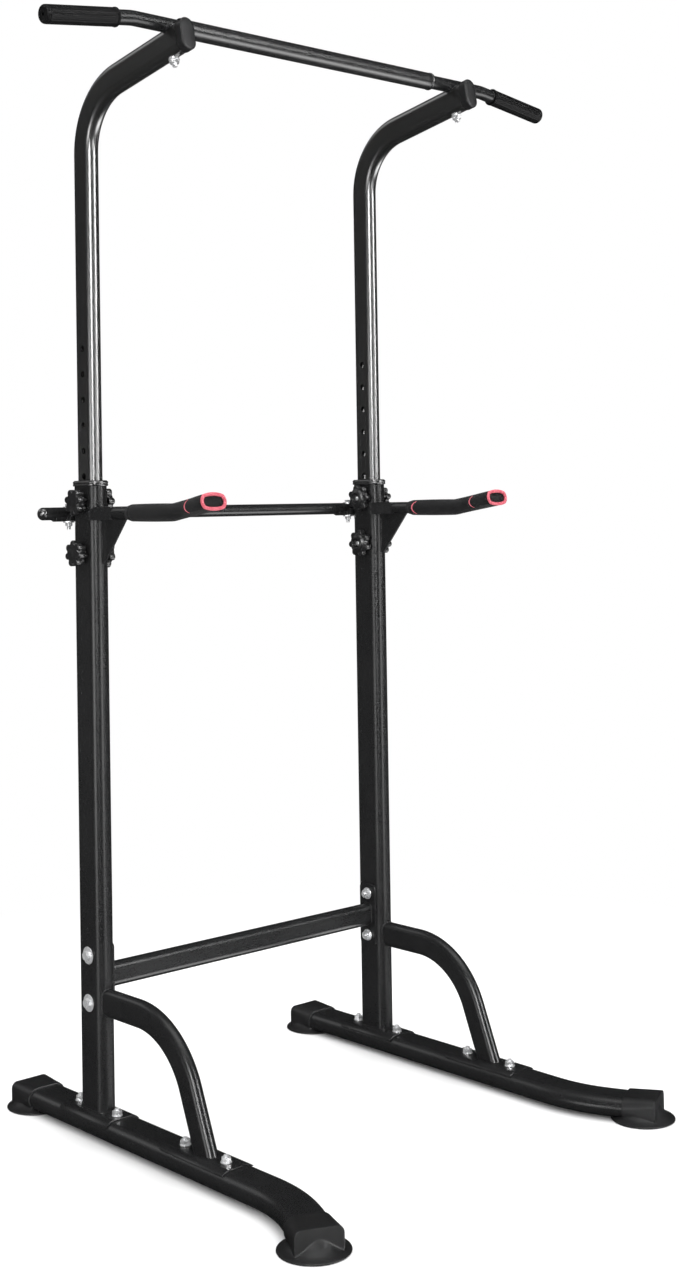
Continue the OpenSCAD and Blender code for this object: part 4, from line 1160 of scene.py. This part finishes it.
# ------------------------------------------------------------------ floor
def floor_material():
    """Near-white floor that fades to pure white far out and is unseen in reflections."""
    material = bpy.data.materials.new("studio_floor")
    tree = empty_tree(material)
    coords = add_node(tree, "ShaderNodeTexCoord").outputs["Object"]
    mottle = add_node(tree, "ShaderNodeTexNoise",
                      {"Vector": coords, "Scale": 3.0, "Detail": 3.0})
    colour = colour_ramp(tree, mottle.outputs["Fac"],
                         [(0.3, (0.90, 0.90, 0.90)), (0.7, (0.915, 0.915, 0.915))])
    near = add_node(tree, "ShaderNodeBsdfDiffuse", {"Color": colour})
    far = add_node(tree, "ShaderNodeEmission", {"Strength": 1.0, "Color": (1.0, 1.0, 1.0, 1)})
    clear = add_node(tree, "ShaderNodeBsdfTransparent")
    split = add_node(tree, "ShaderNodeSeparateXYZ", {0: coords})
    squares = [calculate(tree, "MULTIPLY", split.outputs[axis], split.outputs[axis])
               for axis in ("X", "Y")]
    radius = calculate(tree, "SQRT", calculate(tree, "ADD", *squares), 0.0)
    fade = remap(tree, radius, from_range=(1.1, 2.0), to_range=(0.0, 1.0))
    seen = add_node(tree, "ShaderNodeMixShader",
                    {0: fade, 1: near.outputs[0], 2: far.outputs[0]})
    rays = add_node(tree, "ShaderNodeLightPath")
    mixed = add_node(tree, "ShaderNodeMixShader",
                     {0: rays.outputs["Is Glossy Ray"], 1: seen.outputs[0],
                      2: clear.outputs[0]})
    add_node(tree, "ShaderNodeOutputMaterial", {0: mixed.outputs[0]})
    return material


def build_floor():
    cells, size, level = 24, 24.0, -0.0008
    ticks = [-size / 2 + size * i / cells for i in range(cells + 1)]
    verts = [(x, y, level) for x in ticks for y in ticks]
    faces = []
    for i in range(cells):
        for j in range(cells):
            a = i * (cells + 1) + j
            faces.append((a, a + cells + 1, a + cells + 2, a + 1))
    mesh = bpy.data.meshes.new("floor")
    mesh.from_pydata(verts, [], faces)
    obj = bpy.data.objects.new("floor", mesh)
    mesh.materials.append(floor_material())
    bpy.context.scene.collection.objects.link(obj)


build_floor()


# ------------------------------------------------------------------ studio light
# Soft panels seen only in reflections, in degrees: azimuth (from -Y towards -X), elevation,
# half width, half height, strength, and the elevation that the panel is kept below or above
PANELS = [
    (89, -3, 11, 9, 7.0, ("below", 1.5)),
    (0, -3, 9, 9, 6.6, ("below", 1.5)),
    (50, 16, 4, 16, 36.0, ("above", 2.5)),
    (-25, 16, 3.5, 16, 33.0, ("above", 2.5)),
    (-46, -36, 26, 12, 5.0, None),
    (152, 34, 14, 12, 1.2, None),
    (30, 75, 30, 20, 2.0, None),
]
REFLECTED_BASE = 0.005                              # reflected strength away from the panels


def panel(tree, direction, height, azimuth, elevation, half_width, half_height, strength, cut):
    """Strength of one panel in the looked-at direction; height is that direction's z."""
    a, e = math.radians(azimuth), math.radians(elevation)
    axes = ((-math.sin(a) * math.cos(e), -math.cos(a) * math.cos(e), math.sin(e)),
            (-math.cos(a), math.sin(a), 0.0),
            (math.sin(a) * math.sin(e), math.cos(a) * math.sin(e), math.cos(e)))
    facing, across, rise = [
        add_node(tree, "ShaderNodeVectorMath", {0: direction, 1: axis},
                 operation="DOT_PRODUCT").outputs["Value"] for axis in axes]
    front = calculate(tree, "GREATER_THAN", facing, 0.02)
    across = calculate(tree, "DIVIDE", across, math.sin(math.radians(half_width)))
    across = calculate(tree, "POWER", calculate(tree, "MULTIPLY", across, 1.0), 2.0)
    rise = calculate(tree, "DIVIDE", rise, math.sin(math.radians(half_height)))
    rise = calculate(tree, "POWER", rise, 2.0)
    fall = calculate(tree, "ADD", calculate(tree, "MULTIPLY", across, across),
                     calculate(tree, "MULTIPLY", rise, rise))
    glow = calculate(tree, "EXPONENT", calculate(tree, "MULTIPLY", fall, -1.0))
    glow = calculate(tree, "MULTIPLY", calculate(tree, "MULTIPLY", glow, front), strength)
    if cut is not None:
        kept, limit = cut
        band = [math.sin(math.radians(limit + margin)) for margin in (-1, 1)]
        keep = remap(tree, height, from_range=band,
                     to_range=(1.0, 0.0) if kept == "below" else (0.0, 1.0))
        glow = calculate(tree, "MULTIPLY", glow, keep)
    return glow


def background(tree, strength):
    return add_node(tree, "ShaderNodeBackground",
                    {"Color": (1.0, 1.0, 1.0, 1), "Strength": strength}).outputs[0]


def build_world():
    """White to the camera, panels to glossy rays and a soft gradient to the rest."""
    world = bpy.data.worlds.new("studio")
    bpy.context.scene.world = world
    tree = empty_tree(world)
    rays = add_node(tree, "ShaderNodeLightPath")
    direction = add_node(tree, "ShaderNodeTexCoord").outputs["Generated"]
    height = add_node(tree, "ShaderNodeSeparateXYZ", {0: direction}).outputs["Z"]
    total = None
    for row in PANELS:
        glow = panel(tree, direction, height, *row)
        total = glow if total is None else calculate(tree, "ADD", total, glow)
    reflected = background(tree, calculate(tree, "ADD", total, REFLECTED_BASE))
    visible = background(tree, 1.0)
    ambient = background(tree, remap(tree, height, from_range=(-0.2, 0.9),
                                     to_range=(0.80, 1.35)))
    lighting = add_node(tree, "ShaderNodeMixShader",
                        {0: rays.outputs["Is Glossy Ray"], 1: ambient, 2: reflected})
    mixed = add_node(tree, "ShaderNodeMixShader",
                     {0: rays.outputs["Is Camera Ray"], 1: lighting.outputs[0], 2: visible})
    add_node(tree, "ShaderNodeOutputWorld", {0: mixed.outputs[0]})
    world.cycles.sampling_method = "NONE"


def build_top_light():
    """Square soft light above the station, aimed at the origin and unseen in reflections."""
    light = bpy.data.lights.new("top_soft", "AREA")
    light.shape = "RECTANGLE"
    light.size = 3.0
    light.size_y = 3.0
    light.energy = 70
    obj = bpy.data.objects.new("top_soft", light)
    bpy.context.scene.collection.objects.link(obj)
    obj.location = (0.3, 0.2, 4.2)
    obj.rotation_mode = "QUATERNION"
    obj.rotation_quaternion = (-vec(0.3, 0.2, 4.2)).to_track_quat("-Z", "Y")
    obj.visible_glossy = False


build_world()
build_top_light()


# ------------------------------------------------------------------ camera
def build_camera():
    # Direction from the station back to the camera, azimuth from -Y towards +X
    azimuth, elevation = math.radians(-42.364), math.radians(-0.894)
    roll = math.radians(-0.894)
    backward = vec(math.sin(azimuth) * math.cos(elevation),
                   -math.cos(azimuth) * math.cos(elevation), math.sin(elevation))
    right = (-backward).cross(UP).normalized()
    upward = right.cross(-backward).normalized()
    rolled_right = right * math.cos(roll) + upward * math.sin(roll)
    rolled_up = right * (-math.sin(roll)) + upward * math.cos(roll)
    data = bpy.data.cameras.new("camera")
    data.sensor_fit = "AUTO"
    data.sensor_width = 36.0
    data.lens = 48.961122
    data.shift_x = 0.0
    data.shift_y = -0.12950117
    data.clip_end = 50
    camera = bpy.data.objects.new("camera", data)
    bpy.context.scene.collection.objects.link(camera)
    pose = Matrix((rolled_right, rolled_up, backward)).transposed().to_4x4()
    pose.translation = vec(-2.31838, -2.61552, 1.21837)
    camera.matrix_world = pose
    bpy.context.scene.camera = camera
    bpy.context.scene.view_settings.view_transform = "Standard"


build_camera()
